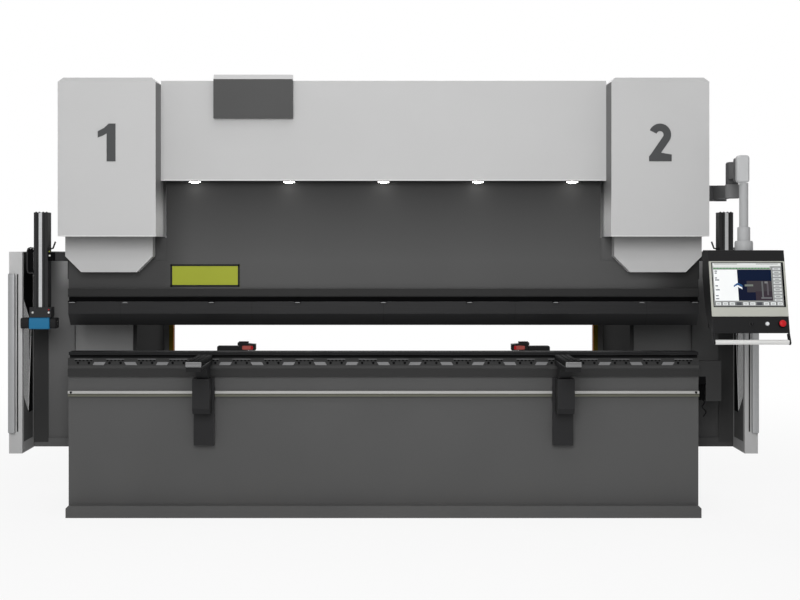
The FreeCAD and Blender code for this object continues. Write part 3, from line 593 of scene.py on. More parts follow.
def slab(size: Vec, radius: float, edge: float, steps: int = 6) -> np.ndarray:
    """Closed slab with rounded corners and rounded rims, centred on the origin.

    Formula: around the outline each corner is a quarter circle of the radius; along the height the
    outline is inset by edge * (1 - sin a) while the height runs over edge * (1 - cos a), a quarter
    turn at each rim.

    Args:
        size: lengths along X, Y and Z.
        radius: radius of the four corners, seen along Z.
        edge: radius of the rims, no more than the corners' radius.
        steps: points along each quarter circle.

    Returns:
        Grid of points, around the outline by along the height.
    """
    half = np.array(size) / 2
    turn = np.linspace(0, np.pi / 2, steps)
    angle = (np.arange(4)[:, None] * np.pi / 2 + turn[None, :]).ravel()
    centre_x = np.repeat([1, -1, -1, 1], steps) * (half[0] - radius)
    centre_y = np.repeat([1, 1, -1, -1], steps) * (half[1] - radius)
    rim = np.linspace(0, np.pi / 2, max(2, steps // 2))
    inset = np.concatenate([edge * (1 - np.sin(rim)), edge * (1 - np.sin(rim[::-1]))])
    low = -half[2] + edge * (1 - np.cos(rim))
    level = np.concatenate([low, -low[::-1]])
    reach = radius - inset
    x = centre_x[:, None] + reach[None, :] * np.cos(angle)[:, None]
    y = centre_y[:, None] + reach[None, :] * np.sin(angle)[:, None]
    return np.stack([x, y, np.broadcast_to(level[None, :], x.shape)], axis=-1)


def to_axis(grid: np.ndarray, axis: int) -> np.ndarray:
    """Turn a grid so that its Z lies along an axis, by passing its coordinates round.

    Args:
        grid: points whose last dimension is X, Y and Z.
        axis: X, Y or Z.

    Returns:
        The turned grid.
    """
    turned = np.empty_like(grid)
    turned[..., [(axis + 1) % 3, (axis + 2) % 3, axis]] = grid
    return turned


def box_slab(low: Vec, high: Vec, radius: float = 0.002, edge: float = 0.001, axis: int = Z) -> np.ndarray:
    """A rounded slab between two corners.

    Args:
        low: its lowest corner.
        high: its highest corner.
        radius: radius of the corners, seen along the axis.
        edge: radius of the rims.
        axis: X, Y or Z, along which its thickness lies.

    Returns:
        Grid of points, as from slab.
    """
    low, high = np.array(low, dtype=float), np.array(high, dtype=float)
    size = (high - low)[[(axis + 1) % 3, (axis + 2) % 3, axis]]
    limit = 0.49 * float(size[:2].min())
    grid = slab(tuple(size), min(radius, limit), min(edge, radius, limit, 0.49 * size[2]), 4)
    return to_axis(grid, axis) + (low + high) / 2


def lathe(profile: list[Span], steps: int = 32) -> np.ndarray:
    """Surface of revolution about Z: each profile point goes round a full circle.

    Args:
        profile: radius and height of each point.
        steps: points round the circle.

    Returns:
        Grid of points, around by along.
    """
    radius, height = np.array(profile, dtype=float).T
    angle = np.linspace(0, 2 * np.pi, steps, endpoint=False)[:, None]
    x = np.cos(angle) * radius
    return np.stack([x, np.sin(angle) * radius, np.broadcast_to(height, x.shape)], axis=-1)


def prism(outline: object, low: float, high: float, axis: int) -> np.ndarray:
    """An outline carried straight along an axis.

    Args:
        outline: corners on the two other axes, in X, Y, Z order.
        low: where it starts.
        high: where it ends.
        axis: X, Y or Z.

    Returns:
        Grid of points, around the outline by its two ends.
    """
    flat = np.array(outline, dtype=float)
    grid = np.empty((len(flat), 2, 3))
    grid[:, :, [part for part in range(3) if part != axis]] = flat[:, None, :]
    grid[:, :, axis] = low, high
    return grid


def tube(path: object, radius: float, steps: int = 12) -> np.ndarray:
    """A round section carried along a path: at each point a circle square to the tangent there.

    Args:
        path: points along the middle.
        radius: radius of the section.
        steps: points round the section.

    Returns:
        Grid of points, around by along.
    """
    path = np.array(path, dtype=float)
    tangent = np.gradient(path, axis=0)
    tangent /= np.linalg.norm(tangent, axis=1, keepdims=True)
    guide = np.eye(3)[int(np.argmin(path.max(axis=0) - path.min(axis=0)))]
    side = np.cross(tangent, guide)
    side /= np.linalg.norm(side, axis=1, keepdims=True)
    over = np.cross(tangent, side)
    angle = np.linspace(0, 2 * np.pi, steps, endpoint=False)[:, None, None]
    return path[None] + radius * (np.cos(angle) * side[None] + np.sin(angle) * over[None])


def screw(place_at: Vec, radius: float, head: float, axis: int = Y, towards: int = -1) -> np.ndarray:
    """A socket-head screw: a lathe profile with a rounded rim and a recess.

    Args:
        place_at: middle of the seat.
        radius: radius of the head.
        head: height of the head.
        axis: X, Y or Z, along which it stands.
        towards: 1 or -1 along the axis.

    Returns:
        Grid of points, around by along.
    """
    wall = [(1.0, 0.0), (1.0, 0.75), (0.88, 1.0), (0.5, 1.0), (0.5, 0.45), (0.05, 0.45)]
    grid = to_axis(lathe(np.array(wall) * (radius, head), 12), axis)
    grid[..., axis] *= towards
    return grid + np.array(place_at)


def hang(name: str, mesh: bpy.types.Mesh, body: str) -> bpy.types.Object:
    """Make an object of a mesh and let it ride on a body.

    Args:
        name: the object's name.
        mesh: its mesh.
        body: the CAD body that carries it.

    Returns:
        The new object.
    """
    made = bpy.data.objects.new(name, mesh)
    bpy.context.scene.collection.objects.link(made)
    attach(made, body)
    return made


class Piece:
    """One new mesh, made of grids, with one or more finishes."""

    def __init__(self, name: str) -> None:
        """Start an empty mesh.

        Args:
            name: the piece's name.
        """
        self.name = name
        self.points: list[np.ndarray] = []
        self.faces: list[list[int]] = []
        self.slots: list[int] = []
        self.finishes: list[Matter] = []
        self.count = 0

    def add(self, grid: np.ndarray, finish: Matter) -> "Piece":
        """Add a grid that is wrapped round its first parameter, with a flat cap at both ends.

        Args:
            grid: points, around by along.
            finish: the finish of its faces.

        Returns:
            The piece, so that calls can follow each other.
        """
        around, along = grid.shape[:2]
        index = np.arange(around * along).reshape(around, along) + self.count
        after = np.roll(index, -1, axis=0)
        quads = np.stack([index[:, :-1], after[:, :-1], after[:, 1:], index[:, 1:]], axis=-1)
        faces = quads.reshape(-1, 4).tolist() + [index[::-1, 0].tolist(), index[:, -1].tolist()]
        if finish not in self.finishes:
            self.finishes.append(finish)
        self.points.append(grid.reshape(-1, 3))
        self.faces += faces
        self.slots += [self.finishes.index(finish)] * len(faces)
        self.count += around * along
        return self

    def box(self, x: Span, y: Span, z: Span, finish: Matter, radius: float = 0.002, edge: float = 0.001,
            axis: int = Z) -> "Piece":
        """Add a rounded slab between two values of X, of Y and of Z."""
        return self.add(box_slab(*zip(x, y, z), radius, edge, axis), finish)

    def build(self, shared: Effects, body: str, slot: str, sharp: float = 32.0) -> bpy.types.Object:
        """Make the object, turn its faces outwards and let it ride on a body.

        Args:
            shared: the shared node groups.
            body: the CAD body that carries it.
            slot: not used.
            sharp: the angle in degrees above which an edge stays sharp.

        Returns:
            The new object.
        """
        mesh = bpy.data.meshes.new(self.name)
        mesh.from_pydata(np.concatenate(self.points), [], self.faces)
        for finish in self.finishes:
            mesh.materials.append(finish.material(shared))
        mesh.polygons.foreach_set("material_index", np.array(self.slots, dtype=np.int32))
        work = bmesh.new()
        work.from_mesh(mesh)
        bmesh.ops.recalc_face_normals(work, faces=work.faces)
        work.to_mesh(mesh)
        work.free()
        mesh.polygons.foreach_set("use_smooth", np.ones(len(mesh.polygons), dtype=bool))
        mesh.set_sharp_from_angle(angle=math.radians(sharp))
        return hang(self.name, mesh, body)


def pair(name: str) -> list[str]:
    """Both nodes of a name that exists on the left and the right."""
    return [side.node(name) for side in Side]


@dataclass
class Studio:
    """Camera, lamps, floor and world."""

    distance: float = 9.06
    eye_height: float = 1.73
    focal_px: float = 1417.0
    centre_px: Span = (383.5, 243.0)
    image_px: tuple[int, int] = (800, 600)
    sensor_mm: float = 36.0
    ambient: float = 0.23
    floor_half: float = 40.0
    floor_grey: float = 0.92
    near_white: float = 0.88
    white_from: Span = (3.0, 9.0)

    def camera(self) -> None:
        """Level camera in front of the machine, at a standing eye's height."""
        wide, tall = self.image_px
        data = bpy.data.cameras.new("front_camera")
        data.sensor_width = self.sensor_mm
        data.lens = self.focal_px / wide * self.sensor_mm
        data.shift_x = (wide / 2 - self.centre_px[0]) / wide
        data.shift_y = (self.centre_px[1] - tall / 2) / wide
        made = bpy.data.objects.new("front_camera", data)
        made.location = (0, -self.distance, self.eye_height)
        made.rotation_euler = (math.pi / 2, 0, 0)
        bpy.context.scene.collection.objects.link(made)
        bpy.context.scene.camera = made

    def lamp(self, name: str, place_at: Vec, aim: Vec, size: float, power: float) -> None:
        """A square soft box that points at a spot.

        Args:
            name: the lamp's name.
            place_at: where it stands.
            aim: the spot.
            size: side of the square.
            power: watts.
        """
        data = bpy.data.lights.new(name, "AREA")
        data.size, data.energy = size, power
        made = bpy.data.objects.new(name, data)
        made.location = place_at
        back = np.array(place_at) - np.array(aim)
        flat = math.hypot(back[0], back[1])
        made.rotation_euler = (math.atan2(flat, back[2]), 0, math.atan2(back[0], -back[1]))
        bpy.context.scene.collection.objects.link(made)

    def seen_white(self, graph: Graph, shader: Socket, share: object) -> Socket:
        """Mix a shader with plain white where the camera, a gloss or a glass looks at it.

        Args:
            graph: the material's graph.
            shader: the shader for all other light.
            share: how much white is mixed in.

        Returns:
            The mixed shader.
        """
        path = graph.add("LightPath").outputs
        looks = graph.math("MAXIMUM", path["Is Camera Ray"], path["Is Glossy Ray"])
        looks = graph.math("MAXIMUM", looks, path["Is Transmission Ray"])
        white = graph.add("Emission", {"Color": (1, 1, 1, 1), "Strength": 1.0}).outputs[0]
        looks = graph.math("MULTIPLY", looks, share)
        return graph.add("MixShader", {0: looks, 1: shader, 2: white}).outputs[0]

    def floor(self) -> None:
        """A wide pale floor that keeps the machine's shadow and grows white far out."""
        half = self.floor_half
        mesh = bpy.data.meshes.new("pale_floor")
        mesh.from_pydata([(-half, -half, 0), (half, -half, 0), (half, half, 0), (-half, half, 0)], [],
                         [(0, 1, 2, 3)])
        made = bpy.data.objects.new("pale_floor", mesh)
        bpy.context.scene.collection.objects.link(made)
        matter = bpy.data.materials.new("pale_floor")
        matter.use_nodes = True
        nodes = matter.node_tree.nodes
        graph = Graph(matter.node_tree)
        shader = nodes["Principled BSDF"]
        graph.fill(shader.inputs, {"Base Color": (*[self.floor_grey] * 3, 1), "Roughness": 0.9})
        vector = graph.add("TexCoord").outputs["Object"]
        away = graph.add("VectorMath", {0: vector}, operation="LENGTH").outputs["Value"]
        share = graph.math("MULTIPLY_ADD", graph.ramp(away, *self.white_from), 1 - self.near_white,
                           self.near_white)
        white = self.seen_white(graph, shader.outputs[0], share)
        graph.fill(nodes["Material Output"].inputs, {0: white})
        mesh.materials.append(matter)

    def world(self) -> None:
        """Even light from all round, and a white background."""
        made = bpy.data.worlds.new("studio")
        made.use_nodes = True
        nodes = made.node_tree.nodes
        graph = Graph(made.node_tree)
        ground = nodes["Background"]
        graph.fill(ground.inputs, {"Color": (1, 1, 1, 1), "Strength": self.ambient})
        graph.fill(nodes["World Output"].inputs, {0: self.seen_white(graph, ground.outputs[0], 1.0)})
        bpy.context.scene.world = made

    def build(self) -> None:
        """Set the whole studio up."""
        self.camera()
        self.world()
        self.floor()
        self.lamp("front_soft_box", (-0.5, -9.5, 4.2), (0, 0, 1.3), 4.0, 440)
        self.lamp("top_soft_box", (0, -1.8, 6.5), (0, 0, 1.0), 5.0, 90)
        self.lamp("rear_soft_box", (0.5, 9.0, 5.2), (0, 0.5, 1.3), 4.0, 230)
        bpy.context.scene.view_settings.view_transform = "Standard"


@dataclass
class Assembly:
    """A part of the machine: finishes for its CAD nodes, and pieces added to them."""

    shared: Effects

    def dress(self, finish: Matter, *names: str) -> None:
        """Give CAD nodes a finish in every material slot.

        Args:
            finish: the finish.
            names: the nodes.
        """
        for name in names:
            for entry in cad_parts[name].material_slots:
                entry.material = finish.material(self.shared)

    def fit(self, piece: Piece, body: str, slot: str, replaced: str = "") -> None:
        """Build a piece on its body.

        Args:
            piece: the piece.
            body: the CAD body that carries it.
            slot: a material slot name, passed on to the piece's build.
            replaced: the CAD node that it stands for, if any.
        """
        made = piece.build(self.shared, body, slot)
        if replaced:
            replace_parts(made, replaced)


@dataclass
class Covers(Assembly):
    """Cylinder covers, header, aprons, numerals, lamps and the bare name panel."""

    numeral_tall: float = 0.232
    numeral_out: float = 0.003
    numeral_high: float = 2.348
    lamp_pitch: float = 0.595
    lamp_half: float = 0.034
    lamp_strip: float = 0.006
    lip: float = 0.006

    def coat(self) -> None:
        """Powder coat with painted shade on the covers' inner faces and a painted highlight on each lower
        edge's folded lip, aprons with painted shade under the covers, and a painted highlight along the
        name panel's top.
        """
        for names, kind in ((pair("housing"), CoverFinish), (["header_cover"], BandedFinish)):
            low = spans(names[0])[2][0]
            self.dress(COVER.turned(kind, name="cover_powder_" + names[0], band_low=low - 0.001,
                                    band_high=low + self.lip, band_colour=LIP_HIGHLIGHT), *names)
        low = spans("housing_right")[2][0]
        # Aprons: painted shade under the covers, darkest at their top.
        self.dress(replace(COVER, name="apron_powder", painted_shade_start=low - 0.16, painted_shade_full=low + 0.06,
                           painted_shade_depth=0.55), *pair("apron"))
        top = spans("name_panel")[2][1]
        # Name panel: a painted highlight along its top, where the top bevel catches the light.
        self.dress(BandedFinish("name_panel_paint", grey(78), band_low=top - 0.0305, band_high=top + 0.01,
                                band_colour=grey(205)), "name_panel")

    def strokes(self, text: str) -> np.ndarray:
        """Outline of a bold numeral, one unit tall.

        The 1 is a stem with a slanted flag. The 2 is a ribbon of even width round an arc that runs
        out into a slanted line, and ends in a foot bar: at each point of the middle line p, with
        unit normal n, the two edges are p + w n and p - w n.

        Args:
            text: "1" or "2".

        Returns:
            Its corners, across and up.
        """
        if text == "1":
            return np.array([(0, 0.63), (0, 0.80), (0.16, 0.88), (0.29, 1.0), (0.47, 1.0), (0.47, 0),
                             (0.235, 0), (0.235, 0.74), (0.13, 0.68)])
        turn = np.radians(np.linspace(158, -28, 22))
        arc = np.stack([0.29 + 0.195 * np.cos(turn), 0.705 + 0.195 * np.sin(turn)], axis=1)
        step = np.linspace(0.12, 1.0, 8)[:, None]
        middle = np.concatenate([arc, arc[-1] * (1 - step) + np.array([0.10, 0.085]) * step])
        run = np.gradient(middle, axis=0)
        run /= np.linalg.norm(run, axis=1, keepdims=True)
        normal = np.stack([-run[:, 1], run[:, 0]], axis=1) * 0.1
        outer, inner = middle + normal, middle - normal
        foot = [(0.60, 0.18), (0.60, 0.0), (0.0, 0.0), (0.0, 0.13)]
        return np.concatenate([outer[outer[:, 1] > 0.185], foot, inner[inner[:, 1] > 0.15][::-1]])

    def numerals(self) -> None:
        """Plain numbers 1 and 2 on the two cylinder covers, cut from sheet."""
        for side, text in zip(Side, "12"):
            x, y, _ = spans(side.node("housing"))
            outline = self.strokes(text)
            middle = (outline.max(axis=0) + outline.min(axis=0)) / 2
            flat = (outline - middle) * self.numeral_tall + (sum(x) / 2, self.numeral_high)
            sheet = prism(flat, y[0] - self.numeral_out, y[0], Y)
            self.fit(Piece(f"numeral_{text}").add(sheet, LETTER_GREY), "machine", "dark_paint")

    def lamps(self) -> None:
        """Five lamps on a black strip under the header: glowing lenses, wide above and narrow below."""
        x, y, z = spans("lamp_bar")
        top = z[1] - self.lamp_strip
        tall = top - z[0]
        piece = Piece("header_lamps").box(x, y, (top, z[1]), BLACK, 0.003)
        for at in range(-2, 3):
            middle = at * self.lamp_pitch
            for half, upper, lower in ((self.lamp_half, 0.0, 0.45), (self.lamp_half * 0.6, 0.46, 0.85)):
                piece.box((middle - half, middle + half), y, (top - tall * lower, top - tall * upper),
                          LAMP_GLOW, 0.004, 0.002)
        self.fit(piece, "machine", "lamp", "lamp_bar")

    def build(self) -> None:
        """Dress the covers and add their parts."""
        self.coat()
        self.numerals()
        self.lamps()
        LOG.info("covers, numerals and lamps")


@dataclass
class Ram(Assembly):
    """Ram plate with its clamp bar, punch and the bare yellow plate."""

    border: float = 0.012
    glint_pitch: float = 0.546
    glint_half: float = 0.0205
    end_clip: float = 0.050
    trim: float = 0.0008

    def coat(self) -> None:
        """Grey paint with painted shade under the header and towards both ends, dark tools below."""
        self.dress(EndShadeFinish("ram_plate_paint", grey(83), 0.55, drift=0.06, wear_and_highlight=0.3,
                                  wear_and_highlight_colour=linear(120, 120, 119), painted_shade_start=1.62, painted_shade_full=2.12,
                                  painted_shade_depth=0.62), "ram")
        self.dress(replace(DEEP_GREY, name="clamp_bar_paint", colour=grey(38)), "clamp_bar")
        low, high = spans("punch")[2]
        # Punch: painted shade that deepens towards its tip.
        self.dress(replace(TOOL_STEEL, name="punch_steel", metallic=0.1, colour=linear(38, 38, 39),
                           painted_shade_start=high - 0.09, painted_shade_full=low, painted_shade_depth=0.5), "punch")
        self.dress(LINER_BLACK, "punch_clamps")
        self.dress(BRIGHT_STEEL, *pair("piston_rod"))
        self.dress(SIGN_YELLOW, "yellow_plate")

    def sign(self) -> None:
        """Dark border of the bare yellow plate: below, above, left and right."""
        x, y, z = spans("yellow_plate")
        wide = self.border
        piece = Piece("yellow_plate_border")
        for across, up in ((x, (z[0], z[0] + wide)), (x, (z[1] - wide, z[1])),
                           ((x[0], x[0] + wide), z), ((x[1] - wide, x[1]), z)):
            piece.box(across, (y[0] - self.trim, y[0]), up, BLACK, 0.001, 0.0003, Y)
        self.fit(piece, "ram_unit", "black_paint")

    def clips_and_glints(self) -> None:
        """Light faces of the two end clips that hold the punch, and between them painted glints of the
        lamps on the clamp's rounded edge, each narrower at the top.
        """
        x, y, z = spans("punch_clamps")
        clips = [(x[0], x[0] + self.end_clip), (x[1] - self.end_clip, x[1])]
        # Painted glints: the middle faces stand at the pitch of the lamps' reflections on the clamp's edge.
        clips += [(at * self.glint_pitch - self.glint_half, at * self.glint_pitch + self.glint_half)
                  for at in range(-3, 4)]
        foot, top = z[0] + 0.004, z[0] + 0.010
        piece = Piece("punch_clips_and_glints")
        for left, right in clips:
            outline = [(left, foot), (right, foot), (right - 0.011, top), (left + 0.011, top)]
            piece.add(prism(outline, y[0] - self.trim, y[0], Y), DULL_STEEL)
        self.fit(piece, "ram_unit", "aluminium")

    def shoulders(self) -> None:
        """Sheet on both shoulders of the ram, behind the aprons."""
        piece = Piece("ram_shoulder_sheets")
        plate = EndShadeFinish("shoulder_paint", grey(88), 0.55, drift=0.06)
        for side in Side:
            piece.box(side.x(1.376, 1.560), (-0.052, -0.046), (1.6205, 1.766), plate, 0.001, 0.0005, Y)
        self.fit(piece, "ram_unit", "dark_paint")

    def build(self) -> None:
        """Dress the ram and add its parts."""
        self.coat()
        self.sign()
        self.clips_and_glints()
        self.shoulders()
        LOG.info("ram, tools and yellow plate")


@dataclass
class Bed(Assembly):
    """Bed, table, die rail, die and the rail of the sheet supports."""

    bay_pitch: float = 0.2
    bays: int = 20
    strip_half: float = 0.058
    wedge_half: float = 0.0355
    wedge_lean: float = 0.006
    rib_pitch: float = 0.0108
    rail_end: float = 1.98

    def coat(self) -> None:
        """Grey bed, dark rails and steel tools."""
        self.dress(BODY_GREY, "bed")
        self.dress(BandedFinish("table_paint", grey(46), wear_and_highlight=0.4, wear_and_highlight_colour=grey(92), band_low=0.934,
                                band_high=0.956, band_colour=grey(68)), "table")
        self.dress(replace(DEEP_GREY, name="die_rail_paint", colour=grey(50)), "die_rail")
        # Die: the dark band across its face is painted shadow in the groove between die and holder.
        self.dress(TOOL_STEEL.turned(BandedFinish, name="die_steel", colour=linear(42, 42, 43),
                                     metallic=0.1, roughness=0.75, specular=0.04, band_low=1.0072,
                                     band_high=1.0158, band_colour=grey(8)), "die")
        self.dress(BandedFinish("support_rail_steel", linear(176, 176, 174), 0.4, 0.3, Grain.BRUSHED,
                                500.0, 0.5, band_low=0.70, band_high=0.7755,
                                band_colour=linear(100, 100, 90)), "support_rail")
        self.dress(replace(DEEP_GREY, name="end_paint", colour=grey(50)), "end_bracket")

    def rail_parts(self) -> None:
        """In each bay of the die rail a light strip, five pins and two screws, and wedges between bays."""
        front = spans("die_rail")[1][0]
        face = front + 0.008
        strip_steel = replace(DULL_STEEL, name="strip_steel", colour=linear(94, 94, 95))
        strips, wedges = Piece("die_rail_strips"), Piece("die_rail_wedges")
        for bay in range(self.bays):
            middle = (bay - (self.bays - 1) / 2) * self.bay_pitch
            strips.box((middle - self.strip_half, middle + self.strip_half), (face - 0.003, face + 0.004),
                       (0.9905, 0.9975), strip_steel, axis=Y)
            for at in np.linspace(-0.048, 0.048, 5):
                strips.add(screw((middle + at, face, 0.987), 0.006, 0.002), LINER_BLACK)
            for at in (-0.035, 0.035):
                strips.add(screw((middle + at, face - 0.004, 0.971), 0.0075, 0.003), LINER_BLACK)
        for bay in range(1 - self.bays // 2, self.bays // 2):
            middle = bay * self.bay_pitch
            slope = self.wedge_lean * (1 if bay % 2 else -1)
            outline = [(middle + across * self.wedge_half + lean * slope, up) for across, lean, up in
                       ((-1, -1, 0.957), (1, -1, 0.957), (1, 1, 0.977), (-1, 1, 0.977))]
            wedges.add(prism(outline, front - 0.001, front, Y), DULL_STEEL)
        self.fit(strips, "machine", "aluminium")
        self.fit(wedges, "machine", "aluminium")

    def rail_ends(self) -> None:
        """Screws at both ends of the bright rail."""
        _, (front, _), z = spans("support_rail")
        piece = Piece("support_rail_screws")
        for side in Side:
            piece.add(screw((side.value * self.rail_end, front, sum(z) / 2 + 0.009), 0.0075, 0.004), BLACK)
        self.fit(piece, "machine", "black_paint")

    def end_cables(self) -> None:
        """A black sheet on the end bracket's front as painted shade of its recess, black ribs in the
        recess, and the cable that leaves it.

        Along the cable the height falls evenly, while X and Y each swing by a sine of the way.
        """
        (left, _), (front, _), (foot, _) = spans("end_bracket")
        piece = Piece("end_bracket_cables")
        # Painted shade of the recess: a thin black sheet on the bracket's front face.
        piece.box((left + 0.004, left + 0.047), (front - 0.001, front), (0.832, 0.882), LINER_BLACK,
                  0.002, 0.0004, Y)
        for at in range(4):
            start = left + 0.005 + at * self.rib_pitch
            piece.box((start, start + 0.008), (front + 0.022, front + 0.0355), (foot + 0.002, 0.829),
                      LINER_BLACK, 0.003, 0.002, Y)
        turn = np.linspace(0, 1, 40)
        path = np.stack([2.034 + 0.016 * turn + 0.009 * np.sin(turn * 11),
                         -0.030 + 0.004 * np.sin(turn * 7), foot + 0.004 - 0.108 * turn], axis=1)
        self.fit(piece.add(tube(path, 0.0035, 10), LINER_BLACK), "machine", "black_paint")

    def build(self) -> None:
        """Dress the bed and add its parts."""
        self.coat()
        self.rail_parts()
        self.rail_ends()
        self.end_cables()
        LOG.info("bed, table and die rail")


@dataclass
class Guards(Assembly):
    """Side cabinets, guard backs and doors with their windows and pull handles."""

    grip_inner: float = 2.356
    grip_deep: float = 0.020
    liner_thick: float = 0.0015
    liner_front: float = 0.076
    liner_back: float = 0.309
    liner_up: Span = (0.45, 1.670)

    def coat(self) -> None:
        """Light grey sheet with painted shade lower down, guard backs and cabinets with painted light and
        shade, and a smoked pane in each door.
        """
        # Doors: painted shade that deepens towards the bottom.
        self.dress(Finish("guard_powder", grey(206), drift=0.04, wear_and_highlight=0.3, wear_and_highlight_colour=grey(222),
                          painted_shade_start=1.2, painted_shade_full=0.3, painted_shade_depth=0.28), *pair("guard_door"))
        # The right side's greys are a darker copy of the left's as painted shade; each guard back has
        # painted light in its upper inner corner, and painted shade deepens lower down.
        for side, tone, box_tone in ((Side.LEFT, 126, 142), (Side.RIGHT, 88, 92)):
            inner = CornerFinish(side.node("guard_back_powder"), grey(tone), 0.55, drift=0.06, wear_and_highlight=0.3,
                                 wear_and_highlight_colour=grey(120), painted_shade_start=1.62, painted_shade_full=0.45, painted_shade_depth=0.5)
            self.dress(inner, side.node("guard_back"))
            self.dress(replace(inner, name=side.node("cabinet_powder"), colour=grey(box_tone),
                               painted_corner_light=grey(box_tone), painted_shade_start=1.1, painted_shade_full=0.4),
                       side.node("side_cabinet"))
        self.dress(SMOKED, *pair("guard_window"))

    def handle(self, side: Side) -> None:
        """A pull bar with rounded edges on two feet, and a black strip beside it as its painted shadow.

        Args:
            side: the door's side.
        """
        x, y, z = spans(side.node("guard_handle"))
        inner, middle = side.value * self.grip_inner, sum(x) / 2
        grip = replace(ANODISED, name="pull_bar", colour=linear(158, 159, 160))
        piece = Piece(side.node("pull_handle"))
        piece.box((min(x[0], inner), max(x[1], inner)), (y[0], y[0] + self.grip_deep), z, grip,
                  0.009, 0.004)
        # Painted shadow line of the bar on the door.
        piece.box(side.x(2.3455, 2.3535), (0.0385, 0.040), (z[0] + 0.004, z[1] - 0.004), LINER_BLACK,
                  0.002, 0.0005, Y)
        for start in (0.640, 1.360):
            piece.box((middle - 0.010, middle + 0.010), (y[0] + 0.018, y[1]), (start, start + 0.040),
                      MOULDED_BLACK, 0.004, 0.002, Y)
        self.fit(piece, side.node("door"), "aluminium", side.node("guard_handle"))

    def liner(self, side: Side) -> None:
        """Black inner lining of a door, above, behind and below the slanted window.

        Args:
            side: the door's side.
        """
        inner = min(spans(side.node("guard_door"))[0], key=abs)
        face = sorted((inner - side.value * self.liner_thick, inner))
        front, back, (foot, top) = self.liner_front, self.liner_back, self.liner_up
        window = [(0.080, 1.365), (0.279, 1.190), (0.203, 0.625), (0.080, 0.735)]
        upper = [(front, top), (back, top), (back, 1.190), window[1], window[0], (front, 1.365)]
        rear = [(back, 1.190), window[1], window[2], (back, 0.625)]
        lower = [(front, 0.735), window[3], window[2], (back, 0.625), (back, foot), (front, foot)]
        pale = replace(DEEP_GREY, name="liner_grey", colour=grey(92))
        piece = Piece(side.node("door_liner"))
        for outline, finish in ((upper, LINER_BLACK), (rear, LINER_BLACK), (lower, pale)):
            piece.add(prism(outline, *face, X), finish)
        self.fit(piece, side.node("door"), "black_paint")

    def inner_sheet(self, side: Side) -> None:
        """Dark sheet on the guard back, behind the door's edge: a painted shadow.

        Args:
            side: the guard's side.
        """
        _, (front, _), (foot, _) = spans(side.node("guard_back"))
        # Painted shadow on the guard back, as a thin dark sheet.
        shadow_tone = replace(MOULDED, name="guard_shadow_sheet", colour=grey(56), roughness=0.7, drift=0.15)
        piece = Piece(side.node("guard_shadow_sheet"))
        piece.box(side.x(2.226, 2.354), (front - 0.0015, front), (foot + 0.03, 1.165), shadow_tone,
                  0.003, 0.0005, Y)
        self.fit(piece, "machine", "black_paint")

    def build(self) -> None:
        """Dress the guards and add their parts."""
        self.coat()
        for side in Side:
            self.handle(side)
            self.liner(side)
            self.inner_sheet(side)
        LOG.info("guards and doors")


